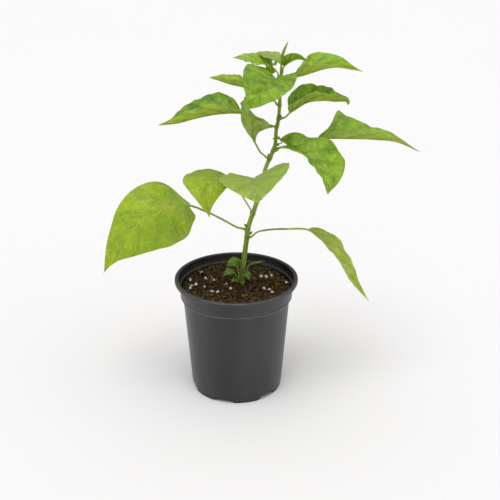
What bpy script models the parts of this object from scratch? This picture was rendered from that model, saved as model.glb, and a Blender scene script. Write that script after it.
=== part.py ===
"""Potted chilli pepper plant, modelled as separate sub-parts in one frame.

Units are metres, with +Z up and the front of the plant towards -Y. The origin is
the centre of the pot's underside, on the surface that the pot stands on. The
driving sizes below are in millimetres and are scaled once, by MM, when a mesh is
made.
"""

import math
from dataclasses import dataclass

import bmesh
import bpy
from mathutils import Vector, noise

MM = 0.001
TOUCH_GAP = 0.35

# Pot: a moulded nursery pot with a rolled lip, a collar and a raised drain channel.
POT_HEIGHT = 116.2
RIM_RADIUS = 60.0
LIP_WIDTH = 3.9
LIP_DROP = 3.8
COLLAR_TOP_RADIUS = 57.0
COLLAR_FOOT_RADIUS = 54.3
COLLAR_FOOT_HEIGHT = 98.6
COLLAR_CHAMFER_WIDTH = 1.0
COLLAR_CHAMFER_DROP = 2.0
BODY_TOP_RADIUS = 51.9
BODY_TOP_HEIGHT = 94.5
LEDGE_HEIGHT = 108.3
LEDGE_RADIUS = 54.7
LEDGE_BEVEL = 0.8
BASE_RADIUS = 44.0
BASE_BAND_HEIGHT = 5.2
WALL = 1.3
CHANNEL_INNER_RADIUS = 33.4
CHANNEL_HEIGHT = 4.8
POT_SIDES = 72

# Drain notches in the foot, each with a hole in the channel above it.
NOTCH_COUNT = 6
NOTCH_HEIGHT = 4.2
NOTCH_FOOT_WIDTH = 21.0
NOTCH_TOP_WIDTH = 15.0
NOTCH_AZIMUTH = -106.7
DRAIN_HOLE_RADIUS = 3.0
DRAIN_HOLE_CIRCLE = 38.4

# Soil: fills the pot to just under the ledge, with a socket for the stem.
SOIL_LEVEL = 106.3
SOIL_RADIUS = 51.6
SOIL_LUMP = 1.0
SOIL_MOUND = 1.4
SOIL_SIDES = 48
SOCKET_DEPTH = 15.0

# Stem: centre line, and radius at its foot and at its top.
STEM_ROUTE = (
    (4, 5, 92), (4.3, 5, 106), (6, 5, 121), (8.8, 4, 143), (10.7, 1.5, 158.5), (11, 0.5, 164),
    (13.3, 0.5, 173.5), (18, 1, 187.5), (24.5, 0, 211), (28, -1, 228), (32.5, -1, 239.5),
    (36.3, 0, 249.5), (37.3, 1, 264), (39, 0, 273), (40, -1, 288), (40.6, 0.5, 306), (41.6, 0, 322),
)
STEM_FOOT_RADIUS = 2.8
STEM_TOP_RADIUS = 1.25
STEM_SIDES = 12
NODE_SWELL = 0.35
NODE_SPREAD = 2.6

# Leaves: shared numbers of the lofted leaf shape.
BLADE_THICKNESS = 0.8
STALK_STATIONS = 8
BLADE_STATIONS = 15
COLUMNS_PER_HALF = 3
TIP_RADIUS = 0.3

BUD_SIDES = 8


@dataclass(frozen=True)
class Leaf:
    """One leaf: its stalk leaves the stem at a height, then the blade runs to the tip."""

    name: str
    node_height: float
    stalk: tuple
    blade: tuple
    half_widths: tuple
    face: tuple
    fold: tuple = (20, 20)
    curl: float = 25
    widest: float = 0.36
    taper: float = 1.2
    lobe: float = 0.15
    wave: tuple = (0.0, 3)
    stalk_radius: float = 0.9


# Every point is (x, y, z). face is the way the upper side looks at the base and
# at the tip. fold is the upward angle of the left and of the right half, in degrees.
LEAVES = (
    Leaf("leaf_01_right_low", 158,
         ((21, -2, 164.5), (32, -4, 167.5), (46, -5, 168.5), (68, -6, 168.3)),
         ((81.5, -7, 159), (93.5, -8, 146), (103.5, -9, 132), (111.5, -9, 119), (129, -10, 94.5)),
         (22, 22), ((0.65, 0, 0.75), (0.85, -0.35, 0.4)), fold=(14, 14), curl=5,
         widest=0.35, taper=1.6, lobe=0, stalk_radius=1.0),
    Leaf("leaf_02_left_low", 166.5,
         ((0, -3, 170), (-14, -6, 179.5), (-29, -9, 188.5), (-43, -12, 195)),
         ((-59, -15, 195.5), (-75, -18, 188.5), (-90, -22, 180.5), (-105.5, -27, 165.5),
          (-117, -32, 150.5), (-123.5, -35, 135.5)),
         (36, 32), ((0.9, 0.2, 0.35), (-0.5, -0.85, 0.25)), fold=(-8, -8), curl=20,
         widest=0.33, taper=1.45, lobe=0.35, stalk_radius=1.1),
    Leaf("leaf_03_front_left", 182,
         ((14, -2, 187), (10.3, -4, 194.5), (7, -6, 201), (0.5, -10, 213.5), (-7.7, -15, 225.5)),
         ((-17.5, -24, 230), (-22.5, -35, 228), (-24.5, -44, 222), (-24, -52, 213), (-22.5, -57, 200)),
         (18, 24), ((-0.45, -0.45, 0.75), (0.55, -0.5, 0.65)), fold=(9, 9), curl=19,
         taper=1.6, lobe=0),
    Leaf("leaf_04_front", 195,
         ((23, -7, 206), (22, -11, 215.5), (19, -17, 222.5)),
         ((16.5, -28, 228), (17, -45, 231), (18, -65, 231), (19.5, -86, 226)),
         (33, 35), ((-0.2, 0.1, 1), (-0.15, -0.35, 0.9)), fold=(18, 18), curl=0,
         widest=0.5, taper=1.1, lobe=-0.1),
    Leaf("leaf_05_left_mid", 267.5,
         ((29.5, -4, 270.7), (20.5, -7, 275.8), (12.7, -10, 280.5), (5.3, -12, 283.5)),
         ((-3.5, -14, 285), (-19, -16, 284), (-35, -18, 281), (-51, -20, 277), (-67, -22, 275)),
         (23, 23), ((0, -0.15, 1), (0, 0.15, 1)), fold=(46, 42), curl=17,
         widest=0.38, lobe=0.1, wave=(1.2, 3)),
    Leaf("leaf_06_rear_left", 237.5,
         ((23, 3, 242), (19.2, 6, 248), (16.2, 9, 254.5), (15.5, 11, 260)),
         ((15.2, 10, 265.5), (14, 6, 274), (10.8, 1, 285.5), (8, -5, 296)),
         (25, 22), ((0.1, 0.7, 0.7), (0.95, 0.1, -0.2)), fold=(12, 14), curl=0,
         widest=0.5, taper=1.6, lobe=-0.15),
    Leaf("leaf_07_right_far", 246.5,
         ((41.5, 1.5, 247.3), (47.5, 3, 248.2), (59.5, 4, 249.5), (76, 7, 253)),
         ((87, 8, 254.5), (106, 10, 253.7), (129, 12, 252), (151, 14, 248.5), (173.5, 16, 238)),
         (26, 26), ((0.7, 0.15, 0.7), (-0.15, 0.2, 0.95)), fold=(55, 37), curl=26,
         widest=0.24, taper=1.7, lobe=-0.2, wave=(1.0, 3)),
    Leaf("leaf_08_front_right", 245,
         ((41, -3.5, 248.4), (44.3, -6, 250), (48.8, -10, 251)),
         ((56, -14, 250), (67.5, -22, 243), (75, -30, 235), (80.5, -36, 227), (83, -42, 217)),
         (29, 26), ((0.45, -0.9, 0), (0, -0.8, 0.6)), fold=(-8, 77), curl=13,
         widest=0.46, lobe=0.5, wave=(0.8, 4)),
    Leaf("leaf_09_right_mid", 275,
         ((45.5, 0, 276.5), (49.5, 0, 280.5)),
         ((55, 0, 285), (65.5, 1, 290.5), (78.5, 2, 291.7), (91, 3, 290.5), (101, 4, 289.7)),
         (18, 18), ((-0.15, -0.05, 1), (0, 0, 1)), fold=(47, 47), curl=15,
         widest=0.33, taper=0.75, lobe=0, wave=(0.8, 3)),
    Leaf("leaf_10_front_top", 301,
         ((40.5, -4.5, 307), (37.5, -10, 314)),
         ((31.5, -18, 314), (24.5, -30, 310), (18, -42, 303.5), (10.5, -50, 297.5)),
         (26, 25), ((0.4, 0.7, 0.6), (0.1, -0.55, 0.8)), fold=(19, 27), curl=5,
         widest=0.3, taper=1.05, lobe=0.4),
    Leaf("leaf_11_left_upper", 288,
         ((35, 2, 291), (24, 5, 296.5), (15, 8, 301)),
         ((6, 9, 303), (-4, 11, 304.5), (-14, 13, 307), (-24, 15, 309.5)),
         (13, 13), ((0.2, 0, 1), (0.1, 0, 1)), fold=(43, 43), curl=20,
         widest=0.42, taper=1.15, lobe=0, wave=(0.6, 3)),
    Leaf("leaf_12_left_top", 313,
         ((37.5, 3, 317),),
         ((31.5, 8, 320.5), (22.5, 13, 324.5), (10.5, 18, 326.5), (-2.5, 22, 326)),
         (14, 14), ((-0.75, 0.6, 0.25), (-0.4, -0.15, 0.9)), fold=(19, 21), curl=28,
         widest=0.46, taper=1.4, stalk_radius=0.7),
    Leaf("leaf_13_rear_top", 318.5,
         ((40.5, 4.5, 324),),
         ((36, 12, 327.5), (29.5, 22, 329), (20.5, 32, 329.5)),
         (10, 10), ((0, 0, 1), (0, 0, 1)), fold=(10, 10), curl=13,
         widest=0.5, taper=1.45, lobe=0, stalk_radius=0.6),
    Leaf("leaf_14_right_top", 305.5,
         ((46, 1, 309), (54, 0, 313.5)),
         ((65, 0, 317), (77.5, 1, 320.5), (90, 2, 322), (102.5, 3, 320), (115, 4, 317.5)),
         (18, 19), ((0.3, 0.2, 0.95), (0, -0.6, 0.8)), fold=(46, 45), curl=16,
         widest=0.28, taper=1.6, lobe=-0.1, wave=(0.8, 3)),
    Leaf("leaf_15_young_right", 320.5,
         ((43.5, -3.5, 324),),
         ((48, -6, 328), (55.5, -9, 331.5), (65, -13, 330.5)),
         (7, 7), ((0, -0.75, 0.65), (0, -0.4, 0.9)), fold=(60, 51), curl=9,
         widest=0.24, taper=1.6, lobe=0.4, stalk_radius=0.55),
    Leaf("leaf_16_youngest", 0,
         ((42, 0, 323.2), (42.2, 0, 328.5)),
         ((43.5, 0, 335), (47.5, 0, 345)),
         (2.4, 2.4), ((1, 0, 0.3), (1, 0, 0.3)), fold=(70, 70), curl=0, lobe=0,
         stalk_radius=0.7),
    Leaf("leaf_17_axil", 251.5,
         ((40.5, -4.8, 252.5), (42.3, -6, 254)),
         ((41.4, -7, 257), (38.5, -8, 259.3), (33.3, -8, 258.5)),
         (2.6, 2.6), ((0, -0.2, 1), (-0.5, -0.4, 0.8)), lobe=0, stalk_radius=0.5),
    Leaf("shoot_leaf_1", 112.6,
         ((1.5, 2, 121), (0.8, 0.5, 128)),
         ((-0.5, 0, 133), (-4, -1.5, 136), (-10, -3.5, 132)),
         (7.5, 7.5), ((0.2, -0.6, 0.8), (-0.5, -0.6, 0.6)), stalk_radius=0.6),
    Leaf("shoot_leaf_2", 109.5,
         ((0.2, 2, 115.5), (-2, 0, 120.5)),
         ((-6, -2.5, 124), (-10, -4, 122.5), (-14, -5.5, 117.5)),
         (4.6, 4.6), ((-0.2, -0.5, 0.9), (-0.5, -0.6, 0.6)), stalk_radius=0.5),
    Leaf("shoot_leaf_3", 113,
         ((6, -0.8, 119),),
         ((8, -2.5, 121.5), (11.3, -6, 121), (13.2, -9, 116.5)),
         (4.6, 4.6), ((0.2, -0.6, 0.8), (0.5, -0.8, 0.4)), stalk_radius=0.5),
    Leaf("shoot_leaf_4", 108.6,
         ((2.2, 0.8, 110.9),),
         ((0.1, -2.0, 113.2), (-2.3, -5.7, 114.1), (-5.6, -9.1, 112.8)),
         (3.2, 3.2), ((0, -0.4, 0.9), (-0.4, -0.6, 0.7)), stalk_radius=0.5),
    Leaf("shoot_leaf_5", 112,
         ((10, 7, 119.5), (12, 8.5, 122.5)),
         ((15.5, 10, 125), (21, 12, 126), (28.5, 14, 127)),
         (3.2, 3.2), ((0, -0.2, 1), (0, -0.2, 1)), fold=(45, 45), stalk_radius=0.5),
    Leaf("shoot_leaf_6", 108.7,
         ((5.3, 0.2, 110.6),),
         ((5.8, -2, 112), (6.2, -4.5, 111.8), (6.5, -7, 109.8)),
         (2.6, 2.6), ((0, -0.5, 0.9), (0, -0.8, 0.6)), stalk_radius=0.45),
)

# Resting buds in the leaf axils: height on the stem, and azimuth in degrees.
BUDS = (
    (161.5, 10), (170, 190), (197, 0), (240.5, 215), (250, 5), (277.5, -55), (313, 205),
)
BUD_LENGTH = 3.0
BUD_RADIUS = 1.1
BUD_LEAN = 35.0


def clear_scene():
    """Remove every object, so that the file holds only the plant."""
    for item in list(bpy.data.objects):
        bpy.data.objects.remove(item, do_unlink=True)


def make_material(name, colour, roughness, metallic=0.0):
    """Make a plain Principled material for one sub-part."""
    material = bpy.data.materials.new(name)
    material.use_nodes = True
    shader = material.node_tree.nodes["Principled BSDF"]
    shader.inputs["Base Color"].default_value = (*colour, 1.0)
    shader.inputs["Roughness"].default_value = roughness
    shader.inputs["Metallic"].default_value = metallic
    material.diffuse_color = (*colour, 1.0)
    return material


def add_object(name, mesh_builder, material, smooth_angle=40.0):
    """Turn a finished bmesh in millimetres into one named object in metres."""
    bmesh.ops.scale(mesh_builder, vec=(MM, MM, MM), verts=mesh_builder.verts)
    bmesh.ops.recalc_face_normals(mesh_builder, faces=mesh_builder.faces)
    mesh = bpy.data.meshes.new(name)
    mesh_builder.to_mesh(mesh)
    mesh_builder.free()
    mesh.materials.append(material)
    mesh.shade_smooth()
    mesh.set_sharp_from_angle(angle=math.radians(smooth_angle))
    item = bpy.data.objects.new(name, mesh)
    bpy.context.collection.objects.link(item)
    return item


def loft(rings):
    """Join equal rings of points into one closed skin with a flat cap at each end."""
    skin = bmesh.new()
    rows = [[skin.verts.new(point) for point in ring] for ring in rings]
    sides = len(rows[0])
    for lower, upper in zip(rows, rows[1:]):
        for k in range(sides):
            following = (k + 1) % sides
            skin.faces.new((lower[k], lower[following], upper[following], upper[k]))
    skin.faces.new(list(reversed(rows[0])))
    skin.faces.new(rows[-1])
    return skin


def circle(centre, radius, sides, across, along):
    """Points of a circle in the plane of the two unit vectors."""
    turns = [2 * math.pi * k / sides for k in range(sides)]
    return [centre + radius * (math.cos(a) * across + math.sin(a) * along) for a in turns]


def catmull_rom(before, start, end, after, t):
    """Point on the smooth curve between start and end, at t from 0 to 1."""
    return 0.5 * (
        2 * start
        + (end - before) * t
        + (2 * before - 5 * start + 4 * end - after) * t ** 2
        + (3 * start - before - 3 * end + after) * t ** 3
    )


def smooth_curve(points, steps=16):
    """Dense points of a smooth curve through the given ones."""
    points = [Vector(point) for point in points]
    padded = [2 * points[0] - points[1], *points, 2 * points[-1] - points[-2]]
    curve = [points[0]]
    for before, start, end, after in zip(padded, padded[1:], padded[2:], padded[3:]):
        curve += [catmull_rom(before, start, end, after, (k + 1) / steps) for k in range(steps)]
    return curve


def even_spacing(curve, count):
    """Points at equal distances along a dense curve, with both its ends."""
    lengths = [0.0]
    for first, second in zip(curve, curve[1:]):
        lengths.append(lengths[-1] + (second - first).length)
    spaced = []
    span = 0
    for k in range(count):
        wanted = lengths[-1] * k / (count - 1)
        while span < len(lengths) - 2 and lengths[span + 1] < wanted:
            span += 1
        part = (wanted - lengths[span]) / max(lengths[span + 1] - lengths[span], 1e-9)
        spaced.append(curve[span].lerp(curve[span + 1], min(part, 1.0)))
    return spaced


def directions(points):
    """Unit tangent at each point of a chain."""
    tangents = []
    for k in range(len(points)):
        before = points[max(k - 1, 0)]
        after = points[min(k + 1, len(points) - 1)]
        tangents.append((after - before).normalized())
    return tangents


# ---------------------------------------------------------------- pot


def body_radius(height):
    """Outer radius of the tapered body at a height."""
    rise = (height - BASE_BAND_HEIGHT) / (BODY_TOP_HEIGHT - BASE_BAND_HEIGHT)
    return BASE_RADIUS + 0.9 + (BODY_TOP_RADIUS - BASE_RADIUS - 0.9) * rise


def pot_outline():
    """Half section of the pot as (radius, height), from the axis out, up and back in."""
    channel_outer = BASE_RADIUS - WALL
    channel_top = CHANNEL_HEIGHT + WALL
    lip_inner = RIM_RADIUS - LIP_WIDTH
    lip_foot = POT_HEIGHT - LIP_DROP
    underside = [
        (0, 0), (CHANNEL_INNER_RADIUS, 0), (CHANNEL_INNER_RADIUS, CHANNEL_HEIGHT),
        (channel_outer, CHANNEL_HEIGHT), (channel_outer, 0), (BASE_RADIUS, 0),
    ]
    outside = [
        (BASE_RADIUS + 0.4, BASE_BAND_HEIGHT - 0.5), (body_radius(BASE_BAND_HEIGHT), BASE_BAND_HEIGHT),
        (BODY_TOP_RADIUS, BODY_TOP_HEIGHT),
        (COLLAR_FOOT_RADIUS - COLLAR_CHAMFER_WIDTH, COLLAR_FOOT_HEIGHT - COLLAR_CHAMFER_DROP),
        (COLLAR_FOOT_RADIUS, COLLAR_FOOT_HEIGHT), (COLLAR_TOP_RADIUS, lip_foot - 0.4),
    ]
    lip = [
        (RIM_RADIUS - 1.0, lip_foot), (RIM_RADIUS - 0.2, lip_foot + 0.7), (RIM_RADIUS, lip_foot + 1.9),
        (RIM_RADIUS - 0.4, POT_HEIGHT - 0.7), (RIM_RADIUS - 1.4, POT_HEIGHT),
        (lip_inner + 1.2, POT_HEIGHT - 0.1), (lip_inner + 0.2, POT_HEIGHT - 0.9),
    ]
    inside = [
        (COLLAR_TOP_RADIUS - WALL, LEDGE_HEIGHT + LEDGE_BEVEL),
        (LEDGE_RADIUS, LEDGE_HEIGHT), (LEDGE_RADIUS - LEDGE_BEVEL, LEDGE_HEIGHT - LEDGE_BEVEL),
        (COLLAR_FOOT_RADIUS - WALL, COLLAR_FOOT_HEIGHT),
        (COLLAR_FOOT_RADIUS - WALL - COLLAR_CHAMFER_WIDTH, COLLAR_FOOT_HEIGHT - COLLAR_CHAMFER_DROP),
        (BODY_TOP_RADIUS - WALL, BODY_TOP_HEIGHT), (body_radius(channel_top) - WALL, channel_top),
        (CHANNEL_INNER_RADIUS - WALL, channel_top), (CHANNEL_INNER_RADIUS - WALL, WALL), (0, WALL),
    ]
    return underside + outside + lip + inside


def build_pot_shell(material):
    """Turn the outline once about Z into a closed shell."""
    shell = bmesh.new()
    chain = [shell.verts.new((radius, 0, height)) for radius, height in pot_outline()]
    edges = [shell.edges.new(pair) for pair in zip(chain, chain[1:])]
    bmesh.ops.spin(shell, geom=chain + edges, cent=(0, 0, 0), axis=(0, 0, 1),
                   angle=2 * math.pi, steps=POT_SIDES, use_merge=True)
    bmesh.ops.remove_doubles(shell, verts=shell.verts, dist=0.001)
    return add_object("pot", shell, material)


def notch_prism(azimuth):
    """Corners of one notch cutter, wider at the foot, that passes through the skirt."""
    outward = Vector((math.cos(azimuth), math.sin(azimuth), 0))
    sideways = Vector((-math.sin(azimuth), math.cos(azimuth), 0))
    rings = []
    for radius in (BASE_RADIUS - 5.5, BASE_RADIUS + 4.0):
        corners = (
            (-NOTCH_FOOT_WIDTH / 2 - 1.0, -1.3), (NOTCH_FOOT_WIDTH / 2 + 1.0, -1.3),
            (NOTCH_TOP_WIDTH / 2, NOTCH_HEIGHT), (-NOTCH_TOP_WIDTH / 2, NOTCH_HEIGHT),
        )
        rings.append([radius * outward + a * sideways + Vector((0, 0, z)) for a, z in corners])
    return loft(rings)


def drain_plug(azimuth):
    """Corners of one round cutter through the channel's roof."""
    centre = Vector((DRAIN_HOLE_CIRCLE * math.cos(azimuth), DRAIN_HOLE_CIRCLE * math.sin(azimuth), 0))
    heights = (CHANNEL_HEIGHT - 0.3, CHANNEL_HEIGHT + WALL + 1.0)
    across, along = Vector((1, 0, 0)), Vector((0, 1, 0))
    return loft([circle(centre + Vector((0, 0, z)), DRAIN_HOLE_RADIUS, 20, across, along) for z in heights])


def build_pot(material):
    """Pot shell with its drain notches and holes cut out."""
    pot = build_pot_shell(material)
    for kind, shape in (("notch", notch_prism), ("drain", drain_plug)):
        for k in range(NOTCH_COUNT):
            azimuth = math.radians(NOTCH_AZIMUTH + 360 / NOTCH_COUNT * k)
            cutter = add_object(f"{kind}_cutter_{k + 1}", shape(azimuth), material)
            cutter.hide_render = True
            cutter.display_type = "WIRE"
            cut = pot.modifiers.new(f"{kind} {k + 1}", "BOOLEAN")
            cut.operation = "DIFFERENCE"
            cut.solver = "EXACT"
            cut.object = cutter
    return pot


# ---------------------------------------------------------------- soil


def soil_height(x, y):
    """Height of the lumpy soil surface above a point of the pot's floor."""
    from_stem = math.hypot(x - STEM_ROUTE[0][0], y - STEM_ROUTE[0][1])
    mound = SOIL_MOUND * math.exp(-((from_stem / 16) ** 2))
    coarse = noise.noise(Vector((x / 9, y / 9, 0.3)))
    fine = noise.noise(Vector((x / 4, y / 4, 7.1)))
    return SOIL_LEVEL + mound + SOIL_LUMP * (coarse + 0.5 * fine)


def soil_ring(radius, share, height=None):
    """Ring whose centre moves from the pot's axis (share 0) to the stem (share 1)."""
    centre = Vector((STEM_ROUTE[0][0] * share, STEM_ROUTE[0][1] * share, 0))
    ring = circle(centre, radius, SOIL_SIDES, Vector((1, 0, 0)), Vector((0, 1, 0)))
    for point in ring:
        point.z = soil_height(point.x, point.y) if height is None else height
    return ring


def build_soil(material):
    """Root ball and soil: follows the inside of the pot, with a lumpy top."""
    inset = WALL + TOUCH_GAP
    channel_top = CHANNEL_HEIGHT + WALL + TOUCH_GAP
    socket_radius = STEM_FOOT_RADIUS + TOUCH_GAP + 0.15
    rings = [
        soil_ring(CHANNEL_INNER_RADIUS - inset, 0, WALL + TOUCH_GAP),
        soil_ring(CHANNEL_INNER_RADIUS - inset, 0, channel_top),
        soil_ring(body_radius(channel_top) - inset, 0, channel_top),
        soil_ring(BODY_TOP_RADIUS - inset - 0.1, 0, BODY_TOP_HEIGHT),
        soil_ring(COLLAR_FOOT_RADIUS - inset - COLLAR_CHAMFER_WIDTH - 0.2, 0, COLLAR_FOOT_HEIGHT - 1.6),
        soil_ring(COLLAR_FOOT_RADIUS - inset - 0.1, 0, COLLAR_FOOT_HEIGHT + 0.4),
        soil_ring(COLLAR_FOOT_RADIUS - inset + 0.6, 0, SOIL_LEVEL - 1.2),
    ]
    for step in range(1, 11):
        share = step / 11
        rings.append(soil_ring(SOIL_RADIUS * (1 - share) + socket_radius * share, share ** 1.5))
    rings.append(soil_ring(socket_radius, 1.0))
    rings.append(soil_ring(socket_radius, 1.0, SOIL_LEVEL - SOCKET_DEPTH))
    return add_object("soil", loft(rings), material, smooth_angle=30.0)


# ---------------------------------------------------------------- stem


STEM_CURVE = smooth_curve(STEM_ROUTE)


def stem_radius(height):
    """Radius of the stem at a height, with a swelling at each leaf node."""
    foot, top = STEM_ROUTE[0][2], STEM_ROUTE[-1][2]
    share = (height - foot) / (top - foot)
    plain = STEM_FOOT_RADIUS + (STEM_TOP_RADIUS - STEM_FOOT_RADIUS) * share
    nodes = [leaf.node_height for leaf in LEAVES if leaf.name.startswith("leaf") and leaf.node_height]
    nearest = min(abs(height - node) for node in nodes)
    return plain + NODE_SWELL * math.exp(-((nearest / NODE_SPREAD) ** 2))


def stem_centre(height):
    """Point of the stem's centre line at a height."""
    for lower, upper in zip(STEM_CURVE, STEM_CURVE[1:]):
        if lower.z <= height <= upper.z:
            return lower.lerp(upper, (height - lower.z) / (upper.z - lower.z))
    return STEM_CURVE[-1].copy()


def build_stem(material):
    """Round, slightly zigzag stem, from its stub in the soil to the growing tip."""
    centres = even_spacing(STEM_CURVE, 78)
    rings = []
    for centre, tangent in zip(centres, directions(centres)):
        across = Vector((0, 1, 0)).cross(tangent).normalized()
        along = tangent.cross(across)
        rings.append(circle(centre, stem_radius(centre.z), STEM_SIDES, across, along))
    tip = centres[-1] + Vector((0, 0, 0.8))
    rings.append(circle(tip, STEM_TOP_RADIUS * 0.55, STEM_SIDES, Vector((1, 0, 0)), Vector((0, 1, 0))))
    return add_object("stem", loft(rings), material)


# ---------------------------------------------------------------- leaves


def blade_share(leaf, t):
    """Share of the full half width that the blade has at t, from 0 at its base to 1 at its tip."""
    rise = leaf.taper * leaf.widest / (1 - leaf.widest)
    if t <= 0 or t >= 1:
        return 0.0
    return (t / leaf.widest) ** rise * ((1 - t) / (1 - leaf.widest)) ** leaf.taper


def half_section(distance, fold, curl):
    """Place on a half blade that starts at an upward fold and curls down, as (out, up)."""
    if abs(curl) < 1e-6:
        return distance * math.cos(fold), distance * math.sin(fold)
    out = (math.sin(fold) - math.sin(fold - curl * distance)) / curl
    up = (math.cos(fold - curl * distance) - math.cos(fold)) / curl
    return out, up


def section_points(leaf, t, radius):
    """Closed section of a leaf as (side, up, back) triples, upper side first."""
    columns = [k / COLUMNS_PER_HALF for k in range(-COLUMNS_PER_HALF, COLUMNS_PER_HALF + 1)]
    upper = [(u, 1) for u in columns]
    lower = [(u, -1) for u in reversed(columns[1:-1])]
    share = blade_share(leaf, t)
    narrow = min(leaf.half_widths) * share
    blend = min(max((narrow - radius) / (2 * radius), 0.0), 1.0)
    points = []
    for u, face in upper + lower:
        full_width = leaf.half_widths[0 if u < 0 else 1]
        width = full_width * share
        round_side = max(width, radius) * math.sin(math.pi * u / 2)
        round_up = radius * math.cos(math.pi * u / 2) * face
        fold = math.radians(leaf.fold[0] if u < 0 else leaf.fold[1])
        out, up = half_section(abs(u), fold, math.radians(leaf.curl))
        ripple = leaf.wave[0] * u * u * math.sin(2 * math.pi * leaf.wave[1] * t + (1.3 if u < 0 else 0))
        rib = radius * math.exp(-((u * width / radius) ** 2)) if face < 0 else 0
        sheet = BLADE_THICKNESS / 2 * (1 - abs(u) ** 4) + rib
        side = math.copysign(out * width, u)
        flat_up = up * width + ripple * share + sheet * face
        back = -leaf.lobe * full_width * u * u * (1 - t) ** 3 * blend
        points.append((
            round_side * (1 - blend) + side * blend,
            round_up * (1 - blend) + flat_up * blend,
            back,
        ))
    return points


def stalk_start(leaf):
    """Foot of the stalk, just clear of the stem's surface."""
    if not leaf.node_height:
        return Vector(leaf.stalk[0])
    centre = stem_centre(leaf.node_height)
    aim = Vector(leaf.stalk[0]) - centre
    rise = abs(aim.normalized().z)
    outward = Vector((aim.x, aim.y, 0)).normalized()
    reach = stem_radius(leaf.node_height) + TOUCH_GAP + leaf.stalk_radius * (0.25 + rise)
    return centre + outward * reach


def leaf_axis(leaf):
    """Stations of a leaf: its stalk, then its blade, as (point, t) with t below 0 on the stalk."""
    start = stalk_start(leaf)
    joint = start.lerp(Vector(leaf.stalk[0]), 0.35)
    stalk = [start, joint, *leaf.stalk] if leaf.node_height else list(leaf.stalk)
    route = [Vector(point) for point in (*stalk, *leaf.blade)]
    steps = 16
    curve = smooth_curve(route, steps)
    split = (len(stalk) - 1) * steps
    stations = [(point, -1.0) for point in even_spacing(curve[:split + 1], STALK_STATIONS)[:-1]]
    blade = even_spacing(curve[split:], BLADE_STATIONS)
    stations += [(point, k / (BLADE_STATIONS - 1)) for k, point in enumerate(blade)]
    return stations


def build_leaf(leaf, material):
    """Stalk and blade as one closed skin, lofted from the stem to the tip."""
    stations = leaf_axis(leaf)
    tangents = directions([point for point, _ in stations])
    face_base, face_tip = (Vector(face).normalized() for face in leaf.face)
    rings = []
    for (point, t), tangent in zip(stations, tangents):
        along = max(t, 0.0)
        facing = face_base.lerp(face_tip, along)
        normal = (facing - facing.dot(tangent) * tangent).normalized()
        side = tangent.cross(normal)
        radius = leaf.stalk_radius * (1 - 0.75 * along)
        if t >= 1:
            radius = TIP_RADIUS
        rings.append([
            point + s * side + up * normal + back * tangent
            for s, up, back in section_points(leaf, along, radius)
        ])
    return add_object(leaf.name, loft(rings), material)


def build_bud(index, height, azimuth, material):
    """Small pointed bud that sits in a leaf axil, just clear of the stem."""
    turn = math.radians(azimuth)
    outward = Vector((math.cos(turn), math.sin(turn), 0))
    lean = math.radians(BUD_LEAN)
    axis = (outward * math.sin(lean) + Vector((0, 0, math.cos(lean)))).normalized()
    foot = stem_centre(height) + outward * (stem_radius(height) + TOUCH_GAP + BUD_RADIUS)
    across = axis.cross(Vector((-math.sin(turn), math.cos(turn), 0)))
    along = axis.cross(across)
    rings = []
    for share, size in ((0.0, 0.45), (0.18, 0.85), (0.4, 1.0), (0.65, 0.8), (0.88, 0.4), (1.0, 0.12)):
        centre = foot + axis * BUD_LENGTH * (share - 0.3)
        rings.append(circle(centre, BUD_RADIUS * size, BUD_SIDES, across, along))
    return add_object(f"axil_bud_{index}", loft(rings), material)


def main():
    """Build the whole plant in its pot."""
    clear_scene()
    pot_plastic = make_material("pot_plastic", (0.028, 0.029, 0.030), 0.42)
    potting_soil = make_material("potting_soil", (0.055, 0.032, 0.018), 0.95)
    stem_green = make_material("stem_green", (0.13, 0.25, 0.035), 0.5)
    leaf_green = make_material("leaf_green", (0.16, 0.36, 0.03), 0.42)
    young_green = make_material("young_leaf_green", (0.09, 0.30, 0.03), 0.4)
    bud_green = make_material("bud_green", (0.10, 0.20, 0.03), 0.5)
    build_pot(pot_plastic)
    build_soil(potting_soil)
    build_stem(stem_green)
    for leaf in LEAVES:
        build_leaf(leaf, young_green if leaf.name.startswith("shoot") else leaf_green)
    for index, (height, azimuth) in enumerate(BUDS, start=1):
        build_bud(index, height, azimuth, bud_green)


main()
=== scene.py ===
"""Looks of a chilli pepper plant that grows in a black nursery pot.

Every size is in millimetres and is turned into metres where a mesh is made. +Z is up,
-Y is the front, and the origin is the centre of the pot's underside.
"""

import bisect
import logging
import math
import random
from dataclasses import dataclass
from enum import Enum
from typing import Callable, Iterable, Sequence

import bpy
from mathutils import Euler, Matrix, Vector, noise

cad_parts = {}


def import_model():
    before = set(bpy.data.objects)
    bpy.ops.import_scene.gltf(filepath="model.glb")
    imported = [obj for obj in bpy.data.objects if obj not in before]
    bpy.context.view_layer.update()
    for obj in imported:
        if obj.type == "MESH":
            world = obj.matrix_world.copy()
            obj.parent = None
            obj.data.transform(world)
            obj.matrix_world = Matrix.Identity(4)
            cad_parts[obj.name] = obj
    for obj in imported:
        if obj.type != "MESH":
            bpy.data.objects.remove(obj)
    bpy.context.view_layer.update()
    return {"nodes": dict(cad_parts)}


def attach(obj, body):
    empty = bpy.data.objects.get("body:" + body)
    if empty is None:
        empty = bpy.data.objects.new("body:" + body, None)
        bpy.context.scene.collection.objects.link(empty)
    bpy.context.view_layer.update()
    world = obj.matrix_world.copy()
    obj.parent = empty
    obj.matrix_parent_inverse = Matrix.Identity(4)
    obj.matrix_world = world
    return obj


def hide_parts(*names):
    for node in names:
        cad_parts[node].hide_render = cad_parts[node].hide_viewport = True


log = logging.getLogger("chilli_plant")

# One millimetre, and the gap below which points become one, both in metres.
MM = 0.001
WELD_GAP = 0.000002

Point = tuple[float, float, float]
Colour = tuple[float, float, float]
Node = bpy.types.Node
Socket = bpy.types.NodeSocket
Piece = bpy.types.Object


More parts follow.
